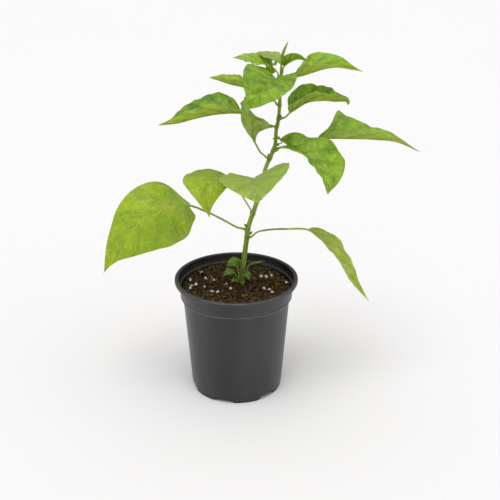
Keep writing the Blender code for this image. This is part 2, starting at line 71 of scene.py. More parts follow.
# ---------------------------------------------------------------- node helpers


class Finish:
    """Writes one procedural material, node by node."""

    def __init__(self, name: str, roughness: float, specular: float = 0.5) -> None:
        """Start a material.

        Args:
            name: The material's name.
            roughness: Roughness set on the shader.
            specular: Specular level set on the shader.
        """
        self.material = bpy.data.materials.new(name)
        self.material.use_nodes = True
        self.tree = self.material.node_tree
        self.shader = self.tree.nodes["Principled BSDF"]
        self.shader.inputs["Roughness"].default_value = roughness
        self.shader.inputs["Specular IOR Level"].default_value = specular
        self.place = self.node("ShaderNodeTexCoord").outputs["Object"]

    def node(self, kind: str, **settings: object) -> Node:
        """Add a node and set its properties by name.

        Args:
            kind: Blender's node type.
            settings: Properties of the node.

        Returns:
            The new node.
        """
        made = self.tree.nodes.new(kind)
        for key, value in settings.items():
            setattr(made, key, value)
        return made

    def feed(self, socket: Socket, value: object) -> None:
        """Link a socket to a socket, or set it to a plain value.

        Args:
            socket: The input that is fed.
            value: A socket to link, or a plain value to set.
        """
        if isinstance(value, bpy.types.NodeSocket):
            self.tree.links.new(value, socket)
        elif isinstance(value, tuple) and len(value) == 3 and len(socket.default_value) == 4:
            socket.default_value = (*value, 1.0)
        else:
            socket.default_value = value

    def math(self, operation: str, first: object, second: object = 0.0) -> Socket:
        """Add a Math node and return its output.

        Args:
            operation: What the node works out.
            first: Its first value or socket.
            second: Its second value or socket.

        Returns:
            The result.
        """
        made = self.node("ShaderNodeMath", operation=operation)
        self.feed(made.inputs[0], first)
        self.feed(made.inputs[1], second)
        return made.outputs[0]

    def ramp(self, value: Socket, low: float, high: float,
             start: float = 0.0, end: float = 1.0) -> Socket:
        """Map a value smoothly from one range to another.

        Args:
            value: The socket that is read.
            low: Value that gives the start.
            high: Value that gives the end.
            start: Output at low.
            end: Output at high.

        Returns:
            The mapped value.
        """
        made = self.node("ShaderNodeMapRange", interpolation_type="SMOOTHSTEP")
        for socket, setting in zip(made.inputs[:5], (value, low, high, start, end)):
            self.feed(socket, setting)
        return made.outputs["Result"]

    def noise(self, scale: float, detail: float, stretch: Point = (1.0, 1.0, 1.0)) -> Socket:
        """Add noise over the piece.

        Args:
            scale: Noise scale, in cells for each metre.
            detail: Number of finer layers.
            stretch: Scale along each axis.

        Returns:
            The noise value.
        """
        mapping = self.node("ShaderNodeMapping")
        mapping.inputs["Scale"].default_value = stretch
        self.feed(mapping.inputs["Vector"], self.place)
        made = self.node("ShaderNodeTexNoise")
        made.inputs["Scale"].default_value = scale
        made.inputs["Detail"].default_value = detail
        self.feed(made.inputs["Vector"], mapping.outputs["Vector"])
        return made.outputs["Fac"]

    def mottle(self, scale: float, detail: float, low: float, high: float,
               start: float = 0.0, end: float = 1.0) -> Socket:
        """Add noise and map it smoothly from one range to another.

        Args:
            scale: Noise scale, in cells for each metre.
            detail: Number of finer layers.
            low: Noise value that gives the start.
            high: Noise value that gives the end.
            start: Output at low.
            end: Output at high.

        Returns:
            The mapped noise.
        """
        return self.ramp(self.noise(scale, detail), low, high, start, end)

    def product(self, first: object, second: object) -> Socket:
        """Multiply two values."""
        return self.math("MULTIPLY", first, second)

    def cells(self, scale: float) -> Socket:
        """Distance to the nearest edge between irregular cells.

        Args:
            scale: Scale of the cells, in cells for each metre.

        Returns:
            The distance, in cells.
        """
        made = self.node("ShaderNodeTexVoronoi", feature="DISTANCE_TO_EDGE")
        made.inputs["Scale"].default_value = scale
        self.feed(made.inputs["Vector"], self.place)
        return made.outputs["Distance"]

    def attribute(self, name: str) -> Socket:
        """Read a number that the mesh carries at its points."""
        return self.node("ShaderNodeAttribute", attribute_name=name).outputs["Fac"]

    def blend(self, share: object, first: object, second: object, mode: str = "MIX") -> Socket:
        """Mix two colours by a share.

        Args:
            share: How much of the second colour shows.
            first: The colour below.
            second: The colour on top.
            mode: How they are blended.

        Returns:
            The mixed colour.
        """
        made = self.node("ShaderNodeMix", data_type="RGBA", blend_type=mode)
        self.feed(made.inputs[0], share)
        self.feed(made.inputs[6], first)
        self.feed(made.inputs[7], second)
        return made.outputs[2]

    def colour(self, value: Socket) -> None:
        """Send a colour to the shader."""
        self.feed(self.shader.inputs["Base Color"], value)

    def rough(self, value: Socket) -> None:
        """Send a roughness that changes over the surface to the shader."""
        self.feed(self.shader.inputs["Roughness"], value)

    def bump(self, height: Socket, distance: float, strength: float = 1.0) -> None:
        """Add fine relief from a height value, distance in metres.

        Args:
            height: The height value that is read.
            distance: Depth of the relief, in metres.
            strength: Share of the relief that shows.
        """
        made = self.node("ShaderNodeBump")
        made.inputs["Strength"].default_value = strength
        made.inputs["Distance"].default_value = distance
        self.feed(made.inputs["Height"], height)
        self.feed(self.shader.inputs["Normal"], made.outputs["Normal"])


# ---------------------------------------------------------------- finishes


def mixed(first: Colour, amount: float, second: Colour, rest: float) -> Colour:
    """Add two colours, each by its amount."""
    return tuple(amount * a + rest * b for a, b in zip(first, second))


@dataclass(frozen=True)
class LeafTone:
    """Colours of one leaf, with the roughness of its upper side and the depth of the painted shade and
    light in its colour.
    """

    upper: Colour
    patch: Colour
    under: Colour
    vein: Colour
    tip: Colour
    shine: float = 0.42
    depth: float = 0.2


class Tone(Enum):
    """Kinds of leaf on the plant, from old and yellowish to young and dark. The pale and the lit tones
    are lighter copies with painted light, for upper leaves that face the light from above.
    """

    OLD = LeafTone((0.225, 0.36, 0.004), (0.30, 0.43, 0.006), (0.31, 0.42, 0.05), (0.45, 0.55, 0.065),
                   (0.30, 0.44, 0.01), 0.40, 0.12)
    BRIGHT = LeafTone((0.29, 0.405, 0.01), (0.39, 0.48, 0.07), (0.32, 0.43, 0.05), (0.42, 0.52, 0.09),
                      (0.28, 0.42, 0.01), 0.40, 0.14)
    # Painted light: a lighter, greyer green for leaves whose upper side faces the light from above.
    PALE = LeafTone((0.30, 0.41, 0.065), (0.265, 0.385, 0.045), (0.34, 0.44, 0.12), (0.37, 0.47, 0.12),
                    (0.42, 0.48, 0.05), 0.50, 0.12)
    GREY = LeafTone((0.21, 0.36, 0.02), (0.27, 0.40, 0.045), (0.35, 0.44, 0.11), (0.42, 0.50, 0.17),
                    (0.29, 0.42, 0.04), 0.45, 0.30)
    MIDDLE = LeafTone((0.155, 0.30, 0.003), (0.25, 0.40, 0.02), (0.35, 0.46, 0.06), (0.36, 0.49, 0.05),
                      (0.42, 0.50, 0.04), 0.33, 0.24)
    DARK = LeafTone((0.105, 0.24, 0.001), (0.20, 0.35, 0.012), (0.42, 0.54, 0.06), (0.33, 0.45, 0.04),
                    (0.40, 0.48, 0.03), 0.29, 0.34)
    # Painted light: a lighter copy of the middle green for the upper leaves in the light.
    LIT = LeafTone((0.225, 0.385, 0.004), (0.32, 0.47, 0.035), (0.40, 0.51, 0.08), (0.42, 0.54, 0.07),
                   (0.42, 0.50, 0.04), 0.33, 0.18)
    SHOOT = LeafTone((0.075, 0.195, 0.003), (0.14, 0.30, 0.010), (0.17, 0.30, 0.05), (0.32, 0.48, 0.07),
                     (0.12, 0.27, 0.02), 0.30, 0.30)


@dataclass(frozen=True)
class VeinPattern:
    """How the side veins leave the midrib and where they bend towards the tip."""

    count: float = 7.0
    rake: float = 0.34
    bend: float = 0.13
    width: float = 0.065

    def phase(self, side: float, along: float) -> float:
        """Place between two side veins, whole numbers lying on a vein.

        Args:
            side: Share across the leaf from -1 at the left margin to 1 at the right.
            along: Share from the blade's base to its tip.

        Returns:
            The phase, which grows by one from each side vein to the next.
        """
        reach = abs(side)
        stagger = 0.5 if side > 0 else 0.0
        return (along - self.rake * reach + self.bend * reach * reach) * self.count + stagger


VEINS = VeinPattern()


@dataclass(frozen=True)
class LeafFinish:
    """Two-sided leaf surface with veins, fine network, patches, an uneven sheen, and painted shade in
    the valleys and hollows with painted light on the crests.

    Scales and cells are counted for each metre. scar is the place across and along, in shares,
    of a small healed scar on the upper side.
    """

    name: str
    tone: LeafTone
    scar: tuple[float, float] | None = None
    scar_colour: Colour = (0.66, 0.36, 0.27)
    scar_tightness: tuple[float, float] = (50.0, 42.0)
    under_shine: float = 0.55
    network_cells: float = 330.0
    mesh_cells: float = 150.0
    cloud_scale: float = 55.0
    fleck_scale: float = 240.0
    wrinkle_scale: float = 170.0
    grain_scale: float = 420.0
    relief: float = 0.00045
    glow_radius: tuple[float, float, float] = (0.65, 1.0, 0.12)

    def scar_mask(self, finish: Finish) -> Socket:
        """Mask of a small broken patch at the leaf's scar, given by its place across and along.

        Args:
            finish: The material being written.

        Returns:
            The mask.
        """
        split = finish.node("ShaderNodeSeparateXYZ")
        finish.feed(split.inputs[0], finish.node("ShaderNodeUVMap").outputs["UV"])
        gaps = [finish.product(finish.math("SUBTRACT", split.outputs[axis], place), tightness)
                for axis, place, tightness in zip("XY", self.scar, self.scar_tightness)]
        across, along = (finish.product(gap, gap) for gap in gaps)
        patch = finish.ramp(finish.math("ADD", across, along), 0.3, 1.0, 1.0, 0.0)
        return finish.product(patch, finish.mottle(700.0, 2.0, 0.4, 0.55))

    def vein_mask(self, finish: Finish, sharpness: float) -> tuple[Socket, Socket, Socket, Socket]:
        """Masks of the side veins, the midrib and the valleys, and the share along the leaf.

        Args:
            finish: The material being written.
            sharpness: Width factor of the side veins.

        Returns:
            Side vein mask, midrib mask, share along the leaf, and the valleys beside the side veins.
        """
        split = finish.node("ShaderNodeSeparateXYZ")
        finish.feed(split.inputs[0], finish.node("ShaderNodeUVMap").outputs["UV"])
        signed = finish.math("MULTIPLY_ADD", split.outputs["X"], 2.0)
        signed.node.inputs[2].default_value = -1.0
        reach = finish.math("ABSOLUTE", signed)
        along = split.outputs["Y"]
        bent = finish.product(finish.product(reach, reach), VEINS.bend)
        leaned = finish.math("SUBTRACT", along, finish.product(reach, VEINS.rake))
        stagger = finish.product(finish.math("GREATER_THAN", signed, 0.0), 0.5)
        count = finish.product(finish.math("ADD", leaned, bent), VEINS.count)
        phase = finish.math("ADD", count, stagger)
        wander = finish.mottle(60.0, 2.0, 0.3, 0.7, -0.10, 0.10)
        phase = finish.math("ADD", phase, wander)
        off_line = finish.math("ABSOLUTE", finish.math("SUBTRACT", finish.math("FRACT", phase), 0.5))
        line = finish.ramp(off_line, 0.5 - VEINS.width * sharpness, 0.5)
        line = finish.product(line, finish.ramp(reach, 0.55, 0.98, 1.0, 0.0))
        midrib = finish.ramp(reach, 0.0, 0.055, 1.0, 0.0)
        valley = finish.ramp(finish.math("ADD", off_line, finish.product(reach, -0.12)), 0.10, 0.44)
        return line, midrib, along, valley

    def side(self, upper: bool) -> bpy.types.Material:
        """Write the material of one side of the leaf.

        Args:
            upper: True for the glossy upper side, False for the paler underside.

        Returns:
            The finished material.
        """
        tone = self.tone
        shine = tone.shine if upper else self.under_shine
        finish = Finish(f"{self.name}_{'upper' if upper else 'under'}", shine, 0.42 if upper else 0.22)
        line, midrib, along, valley = self.vein_mask(finish, 1.0 if upper else 1.4)
        network = finish.ramp(finish.cells(self.network_cells), 0.0, 0.09, 1.0, 0.0)
        mesh = finish.ramp(finish.cells(self.mesh_cells), 0.0, 0.07, 1.0, 0.0)
        cloud = finish.mottle(self.cloud_scale, 5.0, 0.40, 0.62)
        fleck = finish.mottle(self.fleck_scale, 3.0, 0.45, 0.75)
        wrinkle = finish.noise(self.wrinkle_scale, 4.0)
        base = tone.upper if upper else tone.under
        tint = tone.patch if upper else mixed(tone.under, 0.55, tone.upper, 0.45)
        body = finish.blend(cloud, base, tint)
        veined = ((fleck, 0.22), (network, 0.16 if upper else 0.22), (mesh, 0.30), (line, 0.62),
                  (midrib, 0.8))
        for mask, strength in veined:
            body = finish.blend(finish.product(mask, strength), body, tone.vein)
        body = finish.blend(finish.ramp(along, 0.86, 1.0, 0.0, 0.75), body, tone.tip)
        # Painted shade and light: darker in the valleys beside the side veins and in the wrinkles'
        # hollows, lighter on the crests between them; the blade is also darker towards its base.
        depth = tone.depth if upper else 0.6 * tone.depth
        shade = finish.ramp(wrinkle, 0.34, 0.66, 1.0 - 0.8 * depth, 1.0 + 0.5 * depth)
        shade = finish.product(shade, finish.ramp(valley, 0.0, 1.0, 1.0 + 0.25 * depth, 1.0 - depth))
        shade = finish.product(shade, finish.ramp(along, 0.0, 0.5, 1.0 - 0.8 * depth, 1.04))
        body = finish.blend(1.0, body, shade, "MULTIPLY")
        if upper and self.scar:
            body = finish.blend(self.scar_mask(finish), body, self.scar_colour)
        finish.colour(body)
        finish.rough(finish.mottle(130.0, 3.0, 0.3, 0.7, shine - 0.07, shine + 0.09))
        grain = finish.noise(self.grain_scale, 4.0)
        relief = finish.math("SUBTRACT", grain, finish.product(network, 0.5))
        relief = finish.math("ADD", relief, finish.product(wrinkle, 2.2 + 6.0 * depth))
        relief = finish.math("SUBTRACT", relief, finish.product(line, 0.8 if upper else -1.2))
        finish.bump(relief, self.relief, 0.8)
        finish.shader.inputs["Subsurface Weight"].default_value = 0.3
        finish.shader.inputs["Subsurface Scale"].default_value = 0.003
        finish.shader.inputs["Subsurface Radius"].default_value = self.glow_radius
        return finish.material


@dataclass(frozen=True)
class StemFinish:
    """Green stem skin with darker ribs, pale fine streaks, brownish marks and a tan foot."""

    name: str
    green: Colour = (0.15, 0.27, 0.012)
    rib: Colour = (0.34, 0.48, 0.06)
    mark: Colour = (0.10, 0.07, 0.03)
    foot: Colour = (0.25, 0.21, 0.085)
    roughness: float = 0.46

    def make(self) -> bpy.types.Material:
        """Write the material, which reads the mesh's mark and foot values.

        Returns:
            The finished material.
        """
        finish = Finish(self.name, self.roughness, 0.3)
        along = finish.noise(420.0, 3.0, stretch=(1.0, 1.0, 0.07))
        rib = finish.attribute("rib")
        body = finish.blend(finish.ramp(rib, 0.25, 0.85), self.green, self.rib)
        body = finish.blend(finish.ramp(along, 0.42, 0.66, 0.0, 0.5), body, self.rib)
        body = finish.blend(finish.mottle(260.0, 4.0, 0.5, 0.72, 0.0, 0.35), body, self.green)
        spot = finish.mottle(300.0, 3.0, 0.35, 0.6, 0.35, 1.0)
        foot = finish.product(finish.attribute("foot"), spot)
        body = finish.blend(foot, body, self.foot)
        body = finish.blend(finish.product(finish.attribute("mark"), spot), body, self.mark)
        finish.colour(body)
        smoothest, roughest = self.roughness - 0.06, self.roughness + 0.1
        finish.rough(finish.mottle(300.0, 2.0, 0.3, 0.7, smoothest, roughest))
        finish.bump(along, 0.0002, 0.6)
        return finish.material


@dataclass(frozen=True)
class PotFinish:
    """Black moulded polypropylene: satin, faintly mottled, dusty where soil has touched it, with a
    painted highlight on its edges.
    """

    name: str
    black: Colour = (0.014, 0.014, 0.0145)
    worn: Colour = (0.034, 0.034, 0.035)
    # Painted highlight colour for the lip and the collar's foot.
    painted_highlight: Colour = (0.15, 0.15, 0.15)
    dust: Colour = (0.085, 0.065, 0.045)
    roughness: float = 0.36

    def make(self) -> bpy.types.Material:
        """Write the material, with a painted highlight along its edges and dust inside near the soil
        line.

        Returns:
            The finished material.
        """
        finish = Finish(self.name, self.roughness, 0.5)
        flow = finish.noise(26.0, 3.0, stretch=(1.0, 1.0, 0.25))
        body = finish.blend(finish.ramp(flow, 0.35, 0.7), self.black, self.worn)
        speck = finish.mottle(620.0, 5.0, 0.46, 0.62)
        dust = finish.product(finish.attribute("dust"), speck)
        body = finish.blend(finish.product(dust, 0.8), body, self.dust)
        # Painted highlight, broken up a little, along the edges marked in the mesh.
        painted_highlight = finish.mottle(180.0, 4.0, 0.25, 0.6, 0.35, 1.0)
        body = finish.blend(finish.product(finish.attribute("edge"), painted_highlight), body, self.painted_highlight)
        film = finish.mottle(900.0, 3.0, 0.64, 0.78, 0.0, 0.16)
        body = finish.blend(film, body, self.dust)
        finish.colour(body)
        rough = finish.ramp(flow, 0.3, 0.7, self.roughness - 0.03, self.roughness + 0.05)
        finish.rough(finish.math("ADD", rough, finish.product(dust, 0.4)))
        grain = finish.noise(1500.0, 3.0)
        finish.bump(grain, 0.00006, 0.7)
        return finish.material


@dataclass(frozen=True)
class CrumbFinish:
    """Rough plant matter: soil, crumbs, bark, fibres or perlite, by its colours."""

    name: str
    dark: Colour
    light: Colour
    fleck: Colour
    fleck_share: float = 0.25
    scale: float = 260.0
    relief: float = 0.0006
    roughness: float = 0.92
    patches: tuple[float, float] = (0.5, 1.6)

    def make(self) -> bpy.types.Material:
        """Write the material.

        Returns:
            The finished material.
        """
        finish = Finish(self.name, self.roughness, 0.1)
        body = finish.blend(finish.mottle(self.scale, 6.0, 0.36, 0.66), self.dark, self.light)
        speck = finish.mottle(self.scale * 3.1, 3.0, 0.60, 0.72, 0.0, self.fleck_share)
        body = finish.blend(speck, body, self.fleck)
        patch = finish.mottle(self.scale * 0.4, 3.0, 0.32, 0.68, *self.patches)
        finish.colour(finish.blend(1.0, body, patch, "MULTIPLY"))
        finish.rough(finish.mottle(self.scale * 1.7, 2.0, 0.3, 0.7, self.roughness - 0.12, 1.0))
        finish.bump(finish.noise(self.scale * 2.4, 6.0), self.relief)
        return finish.material


class Mix(Enum):
    """What the potting mix is made of."""

    BED = CrumbFinish("damp_peat", (0.012, 0.0075, 0.003), (0.085, 0.053, 0.023), (0.34, 0.20, 0.085),
                      0.6, 420.0, 0.0009)
    CRUMB = CrumbFinish("peat_crumb", (0.02, 0.0125, 0.005), (0.17, 0.107, 0.048), (0.42, 0.27, 0.13),
                        0.45, 380.0, 0.0005)
    BARK = CrumbFinish("bark", (0.10, 0.046, 0.016), (0.36, 0.19, 0.075), (0.52, 0.33, 0.17),
                       0.5, 300.0, 0.0004)
    FIBRE = CrumbFinish("fibre", (0.07, 0.04, 0.02), (0.22, 0.135, 0.068), (0.36, 0.25, 0.14),
                        0.4, 350.0, 0.0002)
    PERLITE = CrumbFinish("perlite", (0.93, 0.93, 0.92), (0.97, 0.97, 0.96), (0.8, 0.76, 0.7),
                          0.2, 700.0, 0.0002, 0.8, (0.95, 1.0))


@dataclass(frozen=True)
class FloorFinish:
    """Plain pale studio floor."""

    name: str
    pale: Colour = (0.955, 0.945, 0.95)
    shade: Colour = (0.94, 0.93, 0.935)

    def make(self) -> bpy.types.Material:
        """Write the material.

        Returns:
            The finished material.
        """
        finish = Finish(self.name, 0.9, 0.1)
        finish.colour(finish.blend(finish.noise(1.5, 2.0), self.pale, self.shade))
        return finish.material


# ---------------------------------------------------------------- modelling helpers


def deselect_all() -> None:
    """Leave object mode with nothing selected."""
    if bpy.context.mode != "OBJECT":
        bpy.ops.object.mode_set(mode="OBJECT")
    bpy.ops.object.select_all(action="DESELECT")


def select_only(piece: Piece) -> None:
    """Select one piece and make it active.

    Args:
        piece: The piece to select.
    """
    deselect_all()
    piece.select_set(True)
    bpy.context.view_layer.objects.active = piece


def tidy_skin(piece: Piece, close_gap: float = WELD_GAP) -> None:
    """Merge a shaped primitive's seams and poles, and turn its faces outwards.

    Args:
        piece: The piece to mend.
        close_gap: Points nearer than this, in metres, become one.
    """
    select_only(piece)
    bpy.ops.object.mode_set(mode="EDIT")
    bpy.ops.mesh.select_all(action="SELECT")
    bpy.ops.mesh.remove_doubles(threshold=close_gap)
    bpy.ops.mesh.dissolve_degenerate(threshold=close_gap / 4)
    bpy.ops.mesh.select_all(action="SELECT")
    bpy.ops.mesh.normals_make_consistent(inside=False)
    bpy.ops.object.mode_set(mode="OBJECT")


def smooth(piece: Piece, degrees: float = 40.0) -> None:
    """Shade a piece smooth, with edges sharper than the angle left crisp."""
    select_only(piece)
    bpy.ops.object.shade_smooth_by_angle(angle=math.radians(degrees))


def apply_modifier(piece: Piece, kind: str, **settings: object) -> None:
    """Add a modifier to a piece, set it and apply it.

    Args:
        piece: The piece to finish.
        kind: Blender's modifier type.
        settings: Properties of the modifier.
    """
    select_only(piece)
    modifier = piece.modifiers.new(kind.title(), kind)
    for key, value in settings.items():
        setattr(modifier, key, value)
    bpy.ops.object.modifier_apply(modifier=modifier.name)


def shaped_grid(name: str, columns: int, rows: int, place: Callable[[float, float], Vector]) -> Piece:
    """Add a grid primitive and lay it over a surface.

    Args:
        name: The new piece's name.
        columns: Faces across.
        rows: Faces along.
        place: Gives the surface's point, in millimetres, for a share across and a share along.

    Returns:
        The shaped grid, with its own UV map.
    """
    deselect_all()
    bpy.ops.mesh.primitive_grid_add(x_subdivisions=columns, y_subdivisions=rows, size=2.0)
    piece = bpy.context.active_object
    piece.name = name
    piece.data.name = name
    for vertex in piece.data.vertices:
        across = round((vertex.co.x + 1.0) / 2.0 * columns) / columns
        along = round((vertex.co.y + 1.0) / 2.0 * rows) / rows
        vertex.co = place(across, along) * MM
    return piece


def join_pieces(name: str, pieces: Sequence[Piece]) -> Piece:
    """Join pieces into the first one and name the result.

    Args:
        name: The joined piece's name.
        pieces: The pieces, the first of which takes in the rest.

    Returns:
        The joined piece.
    """
    deselect_all()
    for piece in pieces:
        piece.select_set(True)
    bpy.context.view_layer.objects.active = pieces[0]
    if len(pieces) > 1:
        bpy.ops.object.join()
    pieces[0].name = name
    pieces[0].data.name = name
    return pieces[0]


def spread_copies(name: str, models: Sequence[Piece], places: Iterable[Matrix]) -> Piece:
    """Copy small finished shapes to many places and join the copies.

    Args:
        name: The joined piece's name.
        models: The shapes, used in turn and removed at the end.
        places: Where each copy goes, in metres.

    Returns:
        The joined piece.
    """
    copies = []
    for index, place in enumerate(places):
        model = models[index % len(models)]
        copy = bpy.data.objects.new(name, model.data.copy())
        copy.data.transform(place)
        bpy.context.collection.objects.link(copy)
        copies.append(copy)
    for model in models:
        bpy.data.objects.remove(model)
    return join_pieces(name, copies)


def lumpy_ball(seed: float, detail: int, size: Point, roughness: float) -> Piece:
    """Model one small irregular lump of about unit size.

    Args:
        seed: Picks the shape.
        detail: Subdivisions of the starting ball.
        size: Half sizes along each axis, in millimetres.
        roughness: Depth of the lumps as a share of the size.

    Returns:
        The lump, at the origin.
    """
    deselect_all()
    bpy.ops.mesh.primitive_ico_sphere_add(subdivisions=detail, radius=1.0)
    lump = bpy.context.active_object
    for vertex in lump.data.vertices:
        swell = 1.0 + roughness * noise.noise(vertex.co * 1.6 + Vector((seed * 7.3, seed, 1.7)))
        swell += 0.5 * roughness * noise.noise(vertex.co * 3.7 + Vector((seed, seed * 3.1, 0.2)))
        vertex.co = Vector(a * b for a, b in zip(vertex.co * swell, size)) * MM
    smooth(lump, 50.0)
    return lump


def dress(piece: Piece, slot: str, materials: Sequence[bpy.types.Material], *nodes: str) -> None:
    """Give a piece its finishes and its place in the frame, and log the name of its slot.

    Args:
        piece: The piece to dress.
        slot: The record's material slot.
        materials: Finishes, one for each of the mesh's slots.
        nodes: Names of the frame's solids that the piece stands for.
    """
    piece.data.materials.clear()
    for material in materials:
        piece.data.materials.append(material)
    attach(piece, "root")
    if nodes:
        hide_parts(*nodes)
    log.info("%s: %d faces, slot %s", piece.name, len(piece.data.polygons), slot)


# ---------------------------------------------------------------- curves


class Route:
    """Smooth line through chosen points, read by its share of length."""

    steps = 24

    def __init__(self, points: Sequence[Sequence[float]]) -> None:
        """Lay the line.

        Args:
            points: The points it passes through, in millimetres.
        """
        chosen = [Vector(point) for point in points]
        padded = [2 * chosen[0] - chosen[1], *chosen, 2 * chosen[-1] - chosen[-2]]
        self.line = [chosen[0]]
        for quad in zip(padded, padded[1:], padded[2:], padded[3:]):
            self.line += [self.between(quad, (k + 1) / self.steps) for k in range(self.steps)]
        self.run = [0.0]
        for first, second in zip(self.line, self.line[1:]):
            self.run.append(self.run[-1] + (second - first).length)

    @staticmethod
    def between(quad: Sequence[Vector], t: float) -> Vector:
        """Point between the middle two of four points.

        Args:
            quad: Four points that follow each other.
            t: Share of the way from the second point to the third.

        Returns:
            The point.
        """
        before, start, end, after = quad
        return 0.5 * (
            2 * start
            + (end - before) * t
            + (2 * before - 5 * start + 4 * end - after) * t ** 2
            + (3 * start - before - 3 * end + after) * t ** 3
        )

    @property
    def length(self) -> float:
        """Length of the whole line."""
        return self.run[-1]

    def share_at(self, index: int) -> float:
        """Share of the length at one of the chosen points."""
        return self.run[index * self.steps] / self.length

    def at(self, share: float) -> Vector:
        """Point at a share of the length.

        Args:
            share: Share of the length.

        Returns:
            The point, in millimetres.
        """
        wanted = min(max(share, 0.0), 1.0) * self.length
        upper = min(max(bisect.bisect_left(self.run, wanted), 1), len(self.run) - 1)
        span = max(self.run[upper] - self.run[upper - 1], 1e-9)
        return self.line[upper - 1].lerp(self.line[upper], (wanted - self.run[upper - 1]) / span)

    def heading(self, share: float, reach: float = 0.004) -> Vector:
        """Direction of the line at a share of its length, averaged over a reach each way."""
        return (self.at(min(share + reach, 1.0)) - self.at(max(share - reach, 0.0))).normalized()


def bell(distance: float, spread: float) -> float:
    """Smooth bump of height one that falls off over the spread."""
    return math.exp(-((distance / spread) ** 2))


# ---------------------------------------------------------------- stem


@dataclass
class Stem:
    """Ribbed, slightly zigzag stem, swollen at each leaf node."""

    route: tuple[Point, ...] = (
        (4, 5, 92), (4.3, 5, 106), (6, 5, 121), (8.8, 4, 143), (10.7, 1.5, 158.5), (11, 0.5, 164),
        (13.3, 0.5, 173.5), (18, 1, 187.5), (24.5, 0, 211), (28, -1, 228), (32.5, -1, 239.5),
        (36.3, 0, 249.5), (37.3, 1, 264), (39, 0, 273), (40, -1, 288), (40.6, 0.5, 306), (41.6, 0, 322),
    )
    foot_radius: float = 2.8
    top_radius: float = 1.25
    nodes: tuple[float, ...] = (
        158, 166.5, 182, 195, 237.5, 245, 267.5, 275, 288, 301, 305.5, 313, 318.5,
    )
    node_swell: float = 0.4
    node_spread: float = 2.4
    ribs: int = 5
    rib_depth: float = 0.055
    rib_twist: float = 0.004
    roughness: float = 0.12
    foot_roughness: float = 0.3
    foot_top: float = 128.0
    foot_fade: float = 6.0
    top_cap: float = 1.1
    mark_drop: float = 0.6
    mark_spread: float = 1.1
    mark_strength: float = 0.6
    columns: int = 30
    rows: int = 300

    def __post_init__(self) -> None:
        """Lay the centre line."""
        self.line = Route(self.route)

    def radius(self, height: float) -> float:
        """Plain radius at a height, with the swelling at each node.

        Args:
            height: Height above the ground, in millimetres.

        Returns:
            The radius, in millimetres.
        """
        foot, top = self.route[0][2], self.route[-1][2]
        share = (height - foot) / (top - foot)
        nearest = min(abs(height - node) for node in self.nodes)
        plain = self.foot_radius + (self.top_radius - self.foot_radius) * share
        return plain + self.node_swell * bell(nearest, self.node_spread)

    def centre(self, height: float) -> Vector:
        """Point of the centre line at a height.

        Args:
            height: Height above the ground, in millimetres.

        Returns:
            The point, in millimetres.
        """
        for lower, upper in zip(self.line.line, self.line.line[1:]):
            if lower.z <= height <= upper.z:
                return lower.lerp(upper, (height - lower.z) / max(upper.z - lower.z, 1e-9))
        return self.line.line[-1].copy()

    def surface(self, across: float, along: float) -> Vector:
        """Point of the stem's skin.

        Args:
            across: Share of a turn around the stem.
            along: Share of the length.

        Returns:
            The point, in millimetres.
        """
        if along in (0.0, 1.0):
            return self.line.at(along) + (Vector((0, 0, self.top_cap)) if along else Vector())
        centre, heading = self.line.at(along), self.line.heading(along)
        turn = 2 * math.pi * across
        side = Vector((0, 1, 0)).cross(heading).normalized()
        rib = math.cos(self.ribs * (turn + self.rib_twist * centre.z))
        reach = self.radius(centre.z) * (1 + self.rib_depth * rib)
        around = Vector((math.cos(turn) * 1.2, math.sin(turn) * 1.2, centre.z / 5))
        reach += self.roughness * noise.noise(around)
        if centre.z < self.foot_top:
            reach += self.foot_roughness * abs(noise.noise(Vector((turn, centre.z / 2.2, 4.0))))
        return centre + reach * (math.cos(turn) * side + math.sin(turn) * heading.cross(side))

    def paint(self, piece: Piece) -> None:
        """Store where the ribs, the node marks and the tan foot are.

        Args:
            piece: The stem's mesh, which gets the values at its points.
        """
        layers = {key: piece.data.attributes.new(key, "FLOAT", "POINT")
                  for key in ("rib", "mark", "foot")}
        for index, vertex in enumerate(piece.data.vertices):
            spot = vertex.co / MM
            centre = self.centre(spot.z)
            turn = math.atan2(spot.y - centre.y, spot.x - centre.x)
            rib = math.cos(self.ribs * (turn + self.rib_twist * spot.z))
            layers["rib"].data[index].value = 0.5 + 0.5 * rib
            nearest = min(abs(spot.z + self.mark_drop - node) for node in self.nodes)
            layers["mark"].data[index].value = self.mark_strength * bell(nearest, self.mark_spread)
            height = self.foot_top - spot.z + 2.0 * noise.noise(spot / 3)
            layers["foot"].data[index].value = min(max(height / self.foot_fade + 0.5, 0.0), 1.0)

    def build(self) -> Piece:
        """Model the stem and dress it.

        Returns:
            The finished stem.
        """
        piece = shaped_grid("green_stem", self.columns, self.rows, self.surface)
        tidy_skin(piece)
        smooth(piece, 50.0)
        self.paint(piece)
        dress(piece, "stem_green", [StemFinish("stem_skin").make()], "stem")
        return piece


# ---------------------------------------------------------------- leaves


@dataclass(frozen=True)
class LeafHabit:
    """Proportions that all leaves share: margin, crumples, and the groove and rib of the middle.

    Heights, widths and spreads are in millimetres. crumple_layers are (height, fineness), and
    the rib's sink and the groove's depth are shares of the stalk's radius.
    """

    crowding: float = 1.12
    unevenness: float = 0.025
    left_phase: float = 1.3
    frill_share: float = 0.45
    frill_fineness: float = 2.6
    crumple_size: float = 11.0
    crumple_layers: tuple[tuple[float, float], ...] = ((1.0, 1.0), (0.55, 2.3), (0.28, 4.7))
    groove_depth: float = 0.45
    groove_width: float = 1.3
    rib_end: float = 0.985
    rib_taper: float = 0.82
    rib_sink: float = 0.62
    foot_swell: float = 0.55
    foot_spread: float = 3.2
    stalk_grid: tuple[int, int] = (14, 110)
    straight: float = 1e-6


HABIT = LeafHabit()


